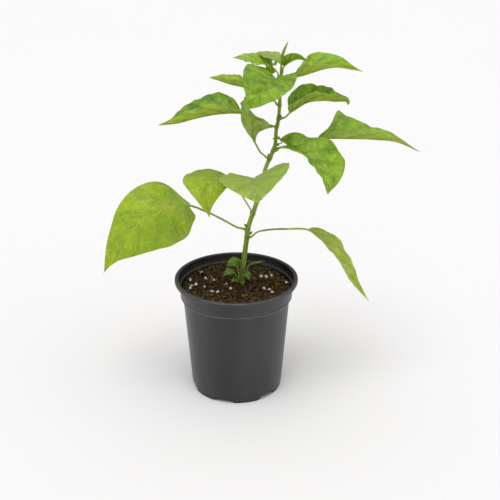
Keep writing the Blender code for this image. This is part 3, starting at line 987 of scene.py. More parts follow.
@dataclass
class ChilliLeaf:
    """One leaf: its stalk leaves the stem at a height, then the blade runs to the tip.

    face is the way the upper side looks at the base and at the tip. fold is the upward
    angle of the left and of the right half, in degrees. wave is the height and the number
    of ripples of the margin. lobes are (side, place along, spread, growth) of the margin,
    and dents are (side, place along, spread, height) by which the margin stands up.
    """

    name: str
    node_height: float
    stalk: tuple[Point, ...]
    blade: tuple[Point, ...]
    half_widths: tuple[float, float]
    face: tuple[Point, Point]
    fold: tuple[float, float] = (20, 20)
    curl: float = 25
    widest: float = 0.36
    taper: float = 1.2
    lobe: float = 0.15
    wave: tuple[float, float] = (0.5, 4)
    stalk_radius: float = 0.9
    tone: Tone = Tone.MIDDLE
    quilt: float = 0.3
    crumple: float = 0.8
    lobes: tuple[tuple[int, float, float, float], ...] = ()
    dents: tuple[tuple[int, float, float, float], ...] = ()
    columns: int = 36
    rows: int = 72
    thickness: float = 0.32
    steadiness: float = 0.035
    roundness: float = 0.65
    scar: tuple[float, float] | None = None
    stem_slot: str = "leaf_green"

    def prepare(self, stem: Stem) -> None:
        """Lay the leaf's centre line from the stem to the tip.

        Args:
            stem: The stem that the stalk grows from.
        """
        route: list[Vector] = [Vector(point) for point in self.stalk]
        if self.node_height:
            centre = stem.centre(self.node_height)
            aim = route[0] - centre
            outward = Vector((aim.x, aim.y, 0)).normalized()
            rise = abs(aim.normalized().z)
            reach = stem.radius(self.node_height)
            start = centre + outward * (reach + self.stalk_radius * (0.25 + rise))
            inner = centre + outward * reach * 0.55
            route = [inner, start, start.lerp(route[0], 0.35), *route]
        self.line = Route([*route, *(Vector(point) for point in self.blade)])
        self.split = self.line.share_at(len(route) - 1)
        self.seed = sum(self.blade[0]) * 0.37 + self.node_height

    def frame_at(self, along: float) -> tuple[Vector, Vector, Vector, Vector]:
        """Point, side, facing and heading of the blade's centre line at a share of the blade.

        Args:
            along: Share of the blade from its base to its tip.

        Returns:
            The point, the way to the right, the way the upper side faces, and the heading.
        """
        share = self.split + (1 - self.split) * along
        point, heading = self.line.at(share), self.line.heading(share, self.steadiness)
        facing = Vector(self.face[0]).normalized().lerp(Vector(self.face[1]).normalized(), along)
        facing = (facing - facing.dot(heading) * heading).normalized()
        return point, heading.cross(facing), facing, heading

    def width_share(self, along: float) -> float:
        """Share of the full half width at a share of the blade's length.

        Args:
            along: Share of the blade from its base to its tip.

        Returns:
            The share, 1 where the blade is widest.
        """
        rise = self.taper * self.widest / (1 - self.widest)
        if along <= 0 or along >= 1:
            return 0.0
        return (along / self.widest) ** rise * ((1 - along) / (1 - self.widest)) ** self.taper

    def half_width(self, side: float, along: float) -> float:
        """Half width on one side, with the margin's lobes and small unevenness.

        Args:
            side: Below 0 for the left half, above 0 for the right one.
            along: Share of the blade from its base to its tip.

        Returns:
            The half width, in millimetres.
        """
        full = self.half_widths[0 if side < 0 else 1]
        growth = sum(amount * bell(along - spot, spread)
                     for hand, spot, spread, amount in self.lobes if hand * side > 0)
        place = Vector((along * 9, self.seed, 2.0 if side < 0 else 5.0))
        uneven = HABIT.unevenness * noise.noise(place)
        return full * self.width_share(along) * (1 + growth + uneven)

    def surface(self, across: float, along: float) -> Vector:
        """Point of the blade's upper skin.

        Args:
            across: Share from the left margin to the right one.
            along: Share of the grid's length, drawn closer near both ends.

        Returns:
            The point, in millimetres.
        """
        along = 0.5 - 0.5 * math.cos(math.pi * along)
        side = 2 * across - 1
        side = math.copysign(abs(side) ** HABIT.crowding, side)
        point, right, facing, heading = self.frame_at(along)
        reach, share = abs(side), self.width_share(along)
        width = self.half_width(side, along)
        fold = math.radians(self.fold[0] if side < 0 else self.fold[1])
        curl = math.radians(self.curl)
        if abs(curl) < HABIT.straight:
            out, up = reach * math.cos(fold), reach * math.sin(fold)
        else:
            out = (math.sin(fold) - math.sin(fold - curl * reach)) / curl
            up = (math.cos(fold - curl * reach) - math.cos(fold)) / curl
        slope = fold - curl * reach
        level = math.cos(slope) * facing - math.sin(slope) * math.copysign(1.0, side) * right
        raised = self.relief(side, along, width, share)
        back = -self.lobe * self.half_widths[0 if side < 0 else 1] * reach * reach * (1 - along) ** 3
        rounding = min(share / self.roundness, 1.0)
        back *= rounding * rounding * (3 - 2 * rounding)
        spot = point + math.copysign(out * width, side) * right + up * width * facing
        return spot + raised * level + back * heading

    def relief(self, side: float, along: float, width: float, share: float) -> float:
        """Height of the ripples, crumples, quilting and midrib groove at a point of the blade.

        Args:
            side: Share across from -1 at the left margin to 1 at the right one.
            along: Share of the blade from its base to its tip.
            width: Half width of the blade here, in millimetres.
            share: Half width as a share of the greatest one.

        Returns:
            The height above the plain blade, in millimetres.
        """
        reach = abs(side)
        height, count = self.wave
        shift = HABIT.left_phase if side < 0 else 0.0
        ripple = height * reach ** 2 * math.sin(2 * math.pi * count * along + shift)
        ripple += sum(rise * reach ** 2 * bell(along - spot, spread)
                      for hand, spot, spread, rise in self.dents if hand * side > 0)
        frill = HABIT.frill_share * height * reach ** 4 * math.sin(
            2 * math.pi * count * HABIT.frill_fineness * along + self.seed)
        size = HABIT.crumple_size
        place = Vector((side * width / size, along * self.blade_length / size, self.seed))
        rough = self.crumple * sum(
            rise * noise.noise(place * finer) for rise, finer in HABIT.crumple_layers)
        phase = VEINS.phase(side, along)
        between = abs(2 * (phase - math.floor(phase)) - 1)
        puff = self.quilt * (1 - between ** 3) * min(1.0, 3 * reach) * (1 - 0.55 * reach)
        groove = -HABIT.groove_depth * self.stalk_radius * bell(side * width, HABIT.groove_width)
        raised = ripple + frill + rough * (0.3 + 0.7 * reach) + puff
        return raised * share + groove * min(share * 4, 1.0)

    @property
    def blade_length(self) -> float:
        """Length of the blade along its centre line."""
        return self.line.length * (1 - self.split)

    def blade_skin(self) -> Piece:
        """Model the blade as a thin two-sided skin, the underside in its own slot.

        Returns:
            The blade.
        """
        blade = shaped_grid(f"{self.name}_blade", self.columns, self.rows, self.surface)
        blade.data.materials.append(None)
        blade.data.materials.append(None)
        select_only(blade)
        bpy.ops.object.mode_set(mode="EDIT")
        bpy.ops.mesh.select_all(action="SELECT")
        bpy.ops.mesh.remove_doubles(threshold=WELD_GAP)
        bpy.ops.object.mode_set(mode="OBJECT")
        apply_modifier(blade, "SOLIDIFY", thickness=self.thickness * MM, offset=-1.0,
                       material_offset=1)
        smooth(blade, 60.0)
        return blade

    def stalk_surface(self, across: float, along: float) -> Vector:
        """Point of the skin of the stalk, which runs on under the blade as its midrib.

        Args:
            across: Share of a turn around the stalk.
            along: Share of the length from the stem to the leaf's tip.

        Returns:
            The point, in millimetres.
        """
        if along in (0.0, 1.0):
            return self.line.at(along * HABIT.rib_end)
        share = along * HABIT.rib_end
        on_blade = max((share - self.split) / (1 - self.split), 0.0)
        point = self.line.at(share)
        heading = self.line.heading(share)
        facing = self.frame_at(on_blade)[2]
        facing = (facing - facing.dot(heading) * heading).normalized()
        right = heading.cross(facing)
        radius = self.stalk_radius * (1 - HABIT.rib_taper * on_blade ** 0.8)
        radius *= 1 + HABIT.foot_swell * bell(share * self.line.length, HABIT.foot_spread)
        turn = 2 * math.pi * across
        sunk = -(self.thickness + HABIT.rib_sink * radius) * min(on_blade * 12, 1.0)
        side = math.cos(turn) * right
        grooved = 0.8 - 0.35 * bell(math.cos(turn), 0.35)
        lift = math.sin(turn) * (1.0 if math.sin(turn) < 0 else grooved)
        return point + sunk * facing - radius * side + radius * lift * facing

    def stalk_skin(self) -> Piece:
        """Model the stalk and midrib as one tapered tube, grooved on top.

        Returns:
            The stalk.
        """
        stalk = shaped_grid(f"{self.name}_stalk", *HABIT.stalk_grid, self.stalk_surface)
        tidy_skin(stalk)
        smooth(stalk, 60.0)
        return stalk

    def build(self, stem: Stem) -> Piece:
        """Model the leaf, join its stalk and blade, and dress it.

        Args:
            stem: The stem that the stalk grows from.

        Returns:
            The finished leaf.
        """
        self.prepare(stem)
        blade, stalk = self.blade_skin(), self.stalk_skin()
        marks = [face.material_index for face in blade.data.polygons]
        marks += [2] * len(stalk.data.polygons)
        piece = join_pieces(f"chilli_{self.name}", [blade, stalk])
        tone = self.tone.value
        finish = LeafFinish(self.name, tone, self.scar)
        rib = CrumbFinish(f"{self.name}_rib", tuple(0.8 * a for a in tone.vein),
                          mixed(tone.vein, 0.9, tone.under, 0.25), tone.upper,
                          0.25, 180.0, 0.0001, 0.5, (0.8, 1.15))
        skins = [finish.side(True), finish.side(False), rib.make()]
        dress(piece, self.stem_slot, skins, self.name)
        for face, mark in zip(piece.data.polygons, marks):
            face.material_index = mark
        return piece


def main_leaves() -> list[ChilliLeaf]:
    """The leaves of the main stem, from the lowest to the youngest.

    Returns:
        The leaves, not yet built.
    """
    return [
        ChilliLeaf(
            "leaf_01_right_low", 158,
            stalk=((21, -2, 164.5), (32, -4, 167.5), (46, -5, 168.5), (68, -6, 168.3)),
            blade=((81.5, -7, 159), (93.5, -8, 146), (103.5, -9, 132), (111.5, -9, 119),
                   (129, -10, 94.5)),
            half_widths=(22, 22), face=((0.65, 0, 0.75), (0.85, -0.35, 0.4)),
            fold=(14, 14), curl=5, widest=0.35, taper=1.6, lobe=0, stalk_radius=1.0,
            tone=Tone.BRIGHT, wave=(0.3, 3),
            lobes=((-1, 0.38, 0.04, 0.08), (-1, 0.46, 0.05, -0.14), (-1, 0.8, 0.1, -0.25),
                   (1, 0.35, 0.2, -0.4)),
        ),
        ChilliLeaf(
            "leaf_02_left_low", 166.5,
            stalk=((0, -3, 170), (-14, -6, 179.5), (-29, -9, 188.5), (-43, -12, 195)),
            blade=((-59, -15, 195.5), (-75, -18, 188.5), (-90, -22, 180.5), (-105.5, -27, 165.5),
                   (-117, -32, 150.5), (-123.5, -35, 135.5)),
            half_widths=(36, 32), face=((0.9, 0.2, 0.35), (-0.5, -0.85, 0.25)),
            fold=(-8, -8), curl=20, widest=0.33, taper=1.45, lobe=0.38, stalk_radius=1.1,
            tone=Tone.OLD, steadiness=0.08, wave=(0.2, 2), crumple=0.45, roundness=0.6,
            scar=(0.935, 0.3), columns=48, rows=100,
            lobes=((1, 0.62, 0.12, -0.06), (1, 0.12, 0.08, 0.14), (-1, 0.13, 0.045, 0.16),
                   (-1, 0.28, 0.08, -0.04), (-1, 0.85, 0.08, -0.1)),
        ),
        ChilliLeaf(
            "leaf_03_front_left", 182,
            stalk=((14, -2, 187), (10.3, -4, 194.5), (7, -6, 201), (0.5, -10, 213.5),
                   (-7.7, -15, 225.5)),
            blade=((-17.5, -24, 228.5), (-22.5, -35, 227), (-24.5, -44, 222), (-24, -52, 213),
                   (-22.5, -57, 200)),
            half_widths=(18, 26.5), face=((-0.45, -0.45, 0.75), (0.55, -0.5, 0.65)),
            fold=(9, 3), curl=19, taper=1.6, lobe=0, tone=Tone.OLD, lobes=((1, 0.69, 0.15, -0.16),),
        ),
        ChilliLeaf(
            "leaf_04_front", 195,
            stalk=((23, -7, 206), (22, -11, 215.5), (19, -17, 222.5)),
            blade=((16.5, -28, 228), (17, -45, 231), (18, -65, 231), (19.5, -86, 226)),
            half_widths=(35, 31.5), face=((-0.2, 0.1, 1), (-0.15, -0.35, 0.9)),
            fold=(18, 18), curl=0, widest=0.5, taper=1.1, lobe=-0.1, tone=Tone.PALE,
            dents=((1, 0.2, 0.06, 4.0),),
        ),
        ChilliLeaf(
            "leaf_05_left_mid", 267.5,
            stalk=((29.5, -4, 270.7), (20.5, -7, 275.8), (12.7, -10, 280.5), (5.3, -12, 283.5)),
            blade=((-3.5, -14, 285), (-19, -16, 284), (-35, -18, 281), (-51, -20, 277),
                   (-68.5, -22, 275.3)),
            half_widths=(23, 23), face=((0, -0.15, 1), (0, 0.15, 1)),
            fold=(46, 42), curl=17, widest=0.38, lobe=0.1, wave=(0.9, 3), tone=Tone.DARK,
            quilt=0.85, crumple=1.5,
            lobes=((1, 0.24, 0.05, 0.08), (1, 0.45, 0.08, -0.12), (1, 0.87, 0.1, -0.3)),
        ),
        ChilliLeaf(
            "leaf_06_rear_left", 237.5,
            stalk=((23, 3, 242), (19.2, 6, 248)),
            blade=((16.2, 9, 254.5), (15.5, 11, 260), (15.2, 10, 265.5), (14, 6, 274),
                   (10.8, 1, 285.5), (8, -5, 296)),
            half_widths=(25, 22), face=((0.1, 0.7, 0.7), (0.95, 0.1, -0.2)),
            fold=(12, 14), curl=0, widest=0.58, taper=1.3, lobe=-0.15, tone=Tone.GREY,
            wave=(1.4, 3), quilt=0.6, crumple=2.4,
        ),
        ChilliLeaf(
            "leaf_07_right_far", 246.5,
            stalk=((41.5, 1.5, 247.3), (47.5, 3, 248.2), (59.5, 4, 249.5), (76, 7, 253)),
            blade=((87, 8, 254.5), (106, 10, 253.7), (129, 12, 252), (151, 14, 248.5),
                   (173.5, 16, 238)),
            half_widths=(26, 26), face=((0.7, 0.15, 0.7), (-0.15, 0.2, 0.95)),
            fold=(55, 37), curl=26, widest=0.24, taper=1.7, lobe=-0.2, wave=(1.3, 3),
            tone=Tone.MIDDLE, quilt=0.5, crumple=1.2,
            lobes=((-1, 0.20, 0.06, 0.32), (-1, 0.05, 0.08, -0.5), (-1, 0.45, 0.15, -0.14),
                   (1, 0.05, 0.05, -0.2)),
        ),
        ChilliLeaf(
            "leaf_08_front_right", 245,
            stalk=((41, -3.5, 248.4), (44.3, -6, 250), (48.8, -10, 251)),
            blade=((56, -14, 250), (67.5, -22, 243), (75, -30, 235), (80.5, -36, 227),
                   (83, -42, 217)),
            half_widths=(29, 26), face=((0.45, -0.9, 0), (0, -0.8, 0.6)),
            fold=(-8, 77), curl=13, widest=0.46, lobe=0.5, wave=(0.7, 3), tone=Tone.MIDDLE,
            quilt=1.0, crumple=1.4, roundness=0.2,
            lobes=((-1, 0.08, 0.05, 0.10), (-1, 0.24, 0.08, -0.26), (-1, 0.74, 0.16, 0.2)),
        ),
        ChilliLeaf(
            "leaf_09_right_mid", 275,
            stalk=((45.5, 0, 276.5), (49.5, 0, 280.5)),
            blade=((55, 0, 285), (65.5, 1, 290.5), (78.5, 2, 291.7), (91, 3, 290.5),
                   (100.5, 4, 290), (102.3, 4, 286.5)),
            half_widths=(18, 18), face=((-0.15, -0.05, 1), (0, 0, 1)),
            fold=(47, 47), curl=15, widest=0.33, taper=0.75, lobe=0, wave=(1.1, 3), tone=Tone.DARK,
            quilt=0.8, crumple=1.3, lobes=((1, 0.03, 0.04, -0.4), (-1, 0.03, 0.04, -0.4)),
        ),
        ChilliLeaf(
            "leaf_10_front_top", 301,
            stalk=((40.5, -4.5, 307), (37.5, -10, 314)),
            blade=((31.5, -18, 314), (24.5, -30, 310), (18, -42, 303.5), (10.5, -50, 297.5)),
            half_widths=(26, 25), face=((0.4, 0.7, 0.6), (0.1, -0.55, 0.8)),
            fold=(19, 27), curl=5, widest=0.3, taper=1.05, lobe=0.4, tone=Tone.MIDDLE, quilt=0.45,
            crumple=1.1,
        ),
        ChilliLeaf(
            "leaf_11_left_upper", 288,
            stalk=((35, 2, 291), (24, 5, 296.5), (15, 8, 301)),
            blade=((6, 9, 303), (-4, 11, 304.5), (-14, 13, 307), (-24, 15, 309.5)),
            half_widths=(11.8, 11.8), face=((0.2, 0, 1), (0.1, 0, 1)),
            fold=(43, 43), curl=20, widest=0.42, taper=1.15, lobe=0, wave=(0.6, 3), tone=Tone.LIT,
            quilt=0.5, crumple=1.0,
        ),
        ChilliLeaf(
            "leaf_12_left_top", 313,
            stalk=((37.5, 3, 317),),
            blade=((31.5, 8, 320.5), (22.5, 13, 324.5), (10.5, 18, 326.5), (-2.5, 22, 326)),
            half_widths=(14, 14), face=((-0.75, 0.6, 0.25), (-0.4, -0.15, 0.9)),
            fold=(19, 21), curl=28, widest=0.46, taper=1.4, stalk_radius=0.7, tone=Tone.LIT,
            quilt=0.6, crumple=1.6,
        ),
        ChilliLeaf(
            "leaf_13_rear_top", 318.5,
            stalk=((40.5, 4.5, 324),),
            blade=((36, 12, 327.5), (29.5, 22, 329), (20.5, 32, 329.5)),
            half_widths=(10, 10), face=((0, 0, 1), (0, 0, 1)),
            fold=(10, 10), curl=13, widest=0.5, taper=1.45, lobe=0, stalk_radius=0.6,
            tone=Tone.PALE,
        ),
        ChilliLeaf(
            "leaf_14_right_top", 305.5,
            stalk=((46, 1, 309), (54, 0, 313.5)),
            blade=((65, 0, 317), (77.5, 1, 320.5), (90, 2, 322), (102.5, 3, 320), (115, 4, 317.5)),
            half_widths=(18, 19), face=((0.3, 0.2, 0.95), (0, -0.6, 0.8)),
            fold=(46, 45), curl=16, widest=0.28, taper=1.6, lobe=-0.1, wave=(0.8, 3), tone=Tone.LIT,
            quilt=0.55, crumple=1.2,
        ),
        ChilliLeaf(
            "leaf_15_young_right", 320.5,
            stalk=((43.5, -3.5, 324),),
            blade=((48, -6, 328), (55.5, -9, 331.5), (65, -13, 330.5)),
            half_widths=(7.5, 9), face=((0, -0.75, 0.65), (0, -0.4, 0.9)),
            fold=(60, 51), curl=9, widest=0.28, taper=1.5, lobe=0.1, stalk_radius=0.55,
            tone=Tone.MIDDLE, wave=(0.2, 3), crumple=0.3,
        ),
        ChilliLeaf(
            "leaf_16_youngest", 0,
            stalk=((41.6, 0, 323.2), (41.2, 0, 328.5)),
            blade=((42.6, 0, 336), (47.2, 0, 345)),
            half_widths=(1.9, 1.9), face=((1, 0, 0.3), (1, 0, 0.3)),
            fold=(70, 70), curl=0, lobe=0, stalk_radius=0.7, tone=Tone.OLD, wave=(0.0, 3),
            crumple=0.1, quilt=0.05, columns=16, rows=30,
        ),
        ChilliLeaf(
            "leaf_17_axil", 251.5,
            stalk=((40.5, -4.8, 252.5), (42.3, -6, 254)),
            blade=((41.4, -7, 257), (38.5, -8, 259.3), (33.3, -8, 258.5)),
            half_widths=(2.6, 2.6), face=((0, -0.2, 1), (-0.5, -0.4, 0.8)),
            lobe=0, stalk_radius=0.5, tone=Tone.MIDDLE, wave=(0.1, 3), crumple=0.1, quilt=0.05,
            columns=16, rows=30,
        ),
    ]


def shoot_leaves() -> list[ChilliLeaf]:
    """The small leaves of the shoot at the foot of the stem.

    Returns:
        The leaves, not yet built.
    """
    small = {"tone": Tone.SHOOT, "wave": (0.25, 3), "crumple": 0.3, "quilt": 0.18,
             "columns": 20, "rows": 40, "stem_slot": "young_leaf_green"}
    return [
        ChilliLeaf(
            "shoot_leaf_1", 112.6,
            stalk=((1.8, 2, 121), (1.6, 0.5, 128)),
            blade=((0.5, 0, 131.2), (-3.5, -1.5, 132.2), (-9.3, -3.5, 128.5)),
            half_widths=(5.2, 5.2), face=((0.2, -0.6, 0.8), (-0.5, -0.6, 0.6)),
            stalk_radius=0.6, **small,
        ),
        ChilliLeaf(
            "shoot_leaf_2", 109.5,
            stalk=((0.2, 2, 115.5), (-2, 0, 120.5)),
            blade=((-5, -2.5, 123.2), (-9, -4, 122.5), (-13.5, -5.5, 118.8)),
            half_widths=(3.8, 3.8), face=((-0.2, -0.5, 0.9), (-0.5, -0.6, 0.6)),
            stalk_radius=0.5, **small,
        ),
        ChilliLeaf(
            "shoot_leaf_3", 113,
            stalk=((6, -0.8, 119),),
            blade=((8, -2.5, 121), (11, -6, 120.7), (12.8, -9, 116.8)),
            half_widths=(4.1, 4.1), face=((0.2, -0.6, 0.8), (0.5, -0.8, 0.4)),
            stalk_radius=0.5, **small,
        ),
        ChilliLeaf(
            "shoot_leaf_4", 108.6,
            stalk=((2.2, 0.8, 110.9),),
            blade=((0.1, -2.0, 113.6), (-2.3, -5.7, 115.2), (-5.4, -9.1, 114.6)),
            half_widths=(3.2, 3.2), face=((0, -0.4, 0.9), (-0.4, -0.6, 0.7)),
            stalk_radius=0.5, **small,
        ),
        ChilliLeaf(
            "shoot_leaf_5", 112,
            stalk=((10, 7, 119.5), (12, 8.5, 124.3)),
            blade=((15.5, 10, 125.6), (21, 12, 126.2), (28.5, 14, 127)),
            half_widths=(1.9, 1.9), face=((0, -0.1, 1), (0, 0.1, 1)),
            fold=(25, 25), stalk_radius=0.5, **small,
        ),
        ChilliLeaf(
            "shoot_leaf_6", 108.7,
            stalk=((5.3, 0.2, 110.6),),
            blade=((5.8, -2, 112), (6.2, -4.5, 111.8), (6.5, -7, 109.8)),
            half_widths=(2.6, 2.6), face=((0, -0.5, 0.9), (0, -0.8, 0.6)),
            stalk_radius=0.45, **small,
        ),
    ]


# ---------------------------------------------------------------- buds


@dataclass
class AxilBuds:
    """Small pointed resting buds in the leaf axils."""

    places: tuple[tuple[float, float], ...] = (
        (161.5, 10), (170, 190), (197, 0), (240.5, 215), (250, 5), (277.5, -55), (313, 205),
    )
    length: float = 3.4
    radius: float = 1.15
    lean: float = 35.0
    narrowing: float = 0.42
    point: float = 0.25
    seam_depth: float = 0.16
    seam_width: float = 0.22

    def model(self, index: int) -> Piece:
        """Model one bud at the origin: a ball drawn to a point, wrapped by two scales.

        Args:
            index: The bud's number, which turns its scales.

        Returns:
            The bud.
        """
        deselect_all()
        bpy.ops.mesh.primitive_uv_sphere_add(segments=20, ring_count=14, radius=1.0)
        bud = bpy.context.active_object
        for vertex in bud.data.vertices:
            up = vertex.co.z
            above = max(up, 0.0)
            turn = math.atan2(vertex.co.y, vertex.co.x)
            narrow = 1.0 - self.narrowing * above ** 1.6
            seam = self.seam_depth * bell(math.sin(turn + index), self.seam_width)
            seam = 1.0 - seam * (0.4 + 0.6 * above)
            vertex.co = Vector((
                vertex.co.x * self.radius * narrow * seam,
                vertex.co.y * self.radius * narrow * seam,
                (up + self.point * above ** 3) * self.length / 2,
            )) * MM
        smooth(bud, 50.0)
        return bud

    def build(self, stem: Stem) -> list[Piece]:
        """Model every bud in its axil and dress it.

        Args:
            stem: The stem that carries the buds.

        Returns:
            The finished buds.
        """
        finish = StemFinish("bud_skin", (0.13, 0.24, 0.03), (0.22, 0.36, 0.07)).make()
        made = []
        for index, (height, azimuth) in enumerate(self.places, start=1):
            turn, lean = math.radians(azimuth), math.radians(self.lean)
            outward = Vector((math.cos(turn), math.sin(turn), 0))
            foot = stem.centre(height) + outward * (stem.radius(height) + self.radius * 0.75)
            bud = self.model(index)
            tilt = Matrix.Rotation(turn, 4, "Z") @ Matrix.Rotation(lean, 4, "Y")
            seat = Matrix.Translation((0, 0, 0.2 * MM))
            bud.data.transform(Matrix.Translation(foot * MM) @ tilt @ seat)
            bud.name = f"bud_{index}"
            dress(bud, "bud_green", [finish], f"axil_bud_{index}")
            made.append(bud)
        return made


# ---------------------------------------------------------------- pot


@dataclass
class NurseryPot:
    """Round moulded pot: rolled lip, collar, tapered body and notched foot."""

    height: float = 116.2
    rim_radius: float = 60.0
    collar_top: float = 57.0
    collar_foot: tuple[float, float] = (54.3, 98.6)
    body_top: tuple[float, float] = (51.9, 94.5)
    ledge: tuple[float, float] = (54.7, 108.3)
    base_radius: float = 44.0
    base_band: float = 5.2
    wall: float = 1.3
    channel: tuple[float, float] = (33.4, 4.8)
    notch_count: int = 6
    notch_azimuth: float = -106.7
    notch_height: float = 4.2
    notch_widths: tuple[float, float] = (21.0, 15.0)
    notch_depth: float = 9.5
    drain_circle: float = 38.4
    drain_radius: float = 3.0
    steps: int = 160

    def arc(self, centre: tuple[float, float], radius: float, start: float, end: float,
            count: int = 7) -> list[tuple[float, float]]:
        """Points of an arc in the half section, angles in degrees from the outward direction."""
        angles = [math.radians(start + (end - start) * k / (count - 1)) for k in range(count)]
        return [(centre[0] + radius * math.cos(a), centre[1] + radius * math.sin(a)) for a in angles]

    def body_radius(self, height: float) -> float:
        """Outer radius of the tapered body at a height.

        Args:
            height: Height above the ground, in millimetres.

        Returns:
            The radius, in millimetres.
        """
        rise = (height - self.base_band) / (self.body_top[1] - self.base_band)
        foot = self.base_radius + 0.9
        return foot + (self.body_top[0] - foot) * rise

    def outline(self) -> list[tuple[float, float]]:
        """Half section from the axis out under the base, up, over the lip and back in.

        Returns:
            Points of radius and height, in millimetres.
        """
        base, band, wall, top = self.base_radius, self.base_band, self.wall, self.height
        outer, roof = base - wall, self.channel[1] + wall
        hub, ceiling = self.channel
        under = [
            (0, 0), (hub - 0.5, 0), (hub, 0.5), (hub, ceiling - 0.5), (hub + 0.5, ceiling),
            (outer - 0.5, ceiling), (outer, ceiling - 0.5), (outer, 0.25), (outer + 0.25, 0),
        ]
        foot = [
            (base - 0.3, 0), (base, 0.3), (base + 0.35, band - 0.9), (base + 0.45, band - 0.35),
            (self.body_radius(band) - 0.1, band), (self.body_radius(band + 0.6), band + 0.6),
        ]
        neck, shoulder = self.body_top
        side = [(self.body_radius(z), z) for z in (20, 40, 60, 80, shoulder - 0.8)]
        radius, height = self.collar_foot
        brim = self.collar_top
        collar = [
            self.body_top, (neck + 0.35, shoulder + 0.7), (radius - 1.0, height - 2.0),
            *self.arc((radius - 0.5, height - 0.5), 0.7, -45, 75, 8),
            (radius - 0.30, height + 0.3), (radius - 0.22, height + 0.7), (radius + 0.05, height + 1.2),
            (radius + 0.8, height + 4.5), (brim - 0.25, top - 5.2), (brim - 0.45, top - 4.9),
            (brim - 0.4, top - 4.25),
        ]
        rim = self.rim_radius
        lip = [
            (rim - 1.35, top - 4.05),
            *self.arc((rim - 1.3, top - 2.75), 1.3, -75, 0, 5),
            *self.arc((rim - 1.35, top - 1.35), 1.35, 15, 90, 6),
            (rim - 2.0, top - 0.12), (rim - 2.3, top - 0.32), (rim - 2.6, top - 0.14),
            *self.arc((rim - 3.0, top - 1.0), 1.0, 80, 178, 6),
        ]
        inner, step = self.ledge
        inside = [
            (brim - wall + 0.15, top - 3.0), (brim - wall - 0.1, step + 1.7),
            (brim - wall - 0.35, step + 0.8),
            (inner + 0.35, step + 0.1), (inner - 0.2, step - 0.1), (inner - 0.75, step - 0.8),
            (radius - wall, height), (radius - wall - 1.0, height - 2.0), (neck - wall, shoulder),
            (self.body_radius(roof) - wall, roof), (hub - wall, roof), (hub - wall, wall), (0, wall),
        ]
        return under + foot + side + collar + lip + inside

    def shell(self) -> Piece:
        """Model the pot: shape a ring of points as the half section and spin it once round.

        Returns:
            The pot without its notches and holes.
        """
        outline = self.outline()
        deselect_all()
        bpy.ops.mesh.primitive_circle_add(vertices=len(outline), radius=0.1, fill_type="NOTHING")
        pot = bpy.context.active_object
        for vertex, (radius, height) in zip(pot.data.vertices, outline):
            vertex.co = Vector((radius, 0, height)) * MM
        bpy.ops.object.mode_set(mode="EDIT")
        bpy.ops.mesh.select_all(action="SELECT")
        bpy.ops.mesh.spin(steps=self.steps, angle=2 * math.pi, center=(0, 0, 0), axis=(0, 0, 1))
        bpy.ops.object.mode_set(mode="OBJECT")
        tidy_skin(pot, 0.00001)
        return pot

    def notch_cutter(self, azimuth: float) -> Piece:
        """Model one notch cutter: a block through the skirt, narrower at its top.

        Args:
            azimuth: Where the notch is, in radians from +X.

        Returns:
            The cutter.
        """
        deselect_all()
        bpy.ops.mesh.primitive_cube_add(size=1.0)
        block = bpy.context.active_object
        for vertex in block.data.vertices:
            top = vertex.co.z > 0
            width = self.notch_widths[1] if top else self.notch_widths[0] + 2.0
            vertex.co = Vector((
                self.base_radius - 0.75 + vertex.co.x * self.notch_depth,
                vertex.co.y * width,
                self.notch_height if top else -1.3,
            )) * MM
        block.data.transform(Matrix.Rotation(azimuth, 4, "Z"))
        return block

    def drain_cutter(self, azimuth: float) -> Piece:
        """Model one round cutter through the roof of the drain channel.

        Args:
            azimuth: Where the hole is, in radians from +X.

        Returns:
            The cutter.
        """
        deselect_all()
        spot = Vector((self.drain_circle * math.cos(azimuth), self.drain_circle * math.sin(azimuth),
                       self.channel[1] + self.wall / 2))
        bpy.ops.mesh.primitive_cylinder_add(vertices=32, radius=self.drain_radius * MM,
                                            depth=(self.wall + 2.0) * MM, location=spot * MM)
        plug = bpy.context.active_object
        bpy.ops.object.transform_apply(location=True, rotation=True, scale=True)
        return plug

    def paint(self, pot: Piece) -> None:
        """Store where soil dust lies, inside near the soil, and which edges get the painted highlight.

        Args:
            pot: The pot's mesh, which gets the values at its points.
        """
        layer = pot.data.attributes.new("dust", "FLOAT", "POINT")
        edge = pot.data.attributes.new("edge", "FLOAT", "POINT")
        for index, vertex in enumerate(pot.data.vertices):
            spot = vertex.co / MM
            reach = math.hypot(spot.x, spot.y)
            inside = reach < self.collar_foot[0] + 1.7 and spot.z > self.collar_foot[1] + 6
            layer.data[index].value = bell(spot.z - self.ledge[1], 3.0) if inside else 0.0
            # Painted highlight on the crest of the lip and the foot of the collar.
            lip = math.hypot(reach - self.rim_radius + 0.45, spot.z - self.height + 0.5)
            foot = math.hypot(reach - self.collar_foot[0] - 0.1, spot.z - self.collar_foot[1] + 0.1)
            edge.data[index].value = max(0.6 * bell(lip, 0.7), bell(foot, 0.55))

    def build(self) -> Piece:
        """Model the pot with its notches and drain holes, and dress it.

        Returns:
            The finished pot.
        """
        pot = self.shell()
        for cutter_of in (self.notch_cutter, self.drain_cutter):
            step = 360 / self.notch_count
            turns = [math.radians(self.notch_azimuth + step * k) for k in range(self.notch_count)]
            cutter = join_pieces("cutter", [cutter_of(turn) for turn in turns])
            apply_modifier(pot, "BOOLEAN", operation="DIFFERENCE", solver="EXACT", object=cutter)
            bpy.data.objects.remove(cutter)
        pot.name = "nursery_pot"
        smooth(pot, 32.0)
        self.paint(pot)
        dress(pot, "pot_plastic", [PotFinish("black_polypropylene").make()], "pot")
        return pot


# ---------------------------------------------------------------- soil


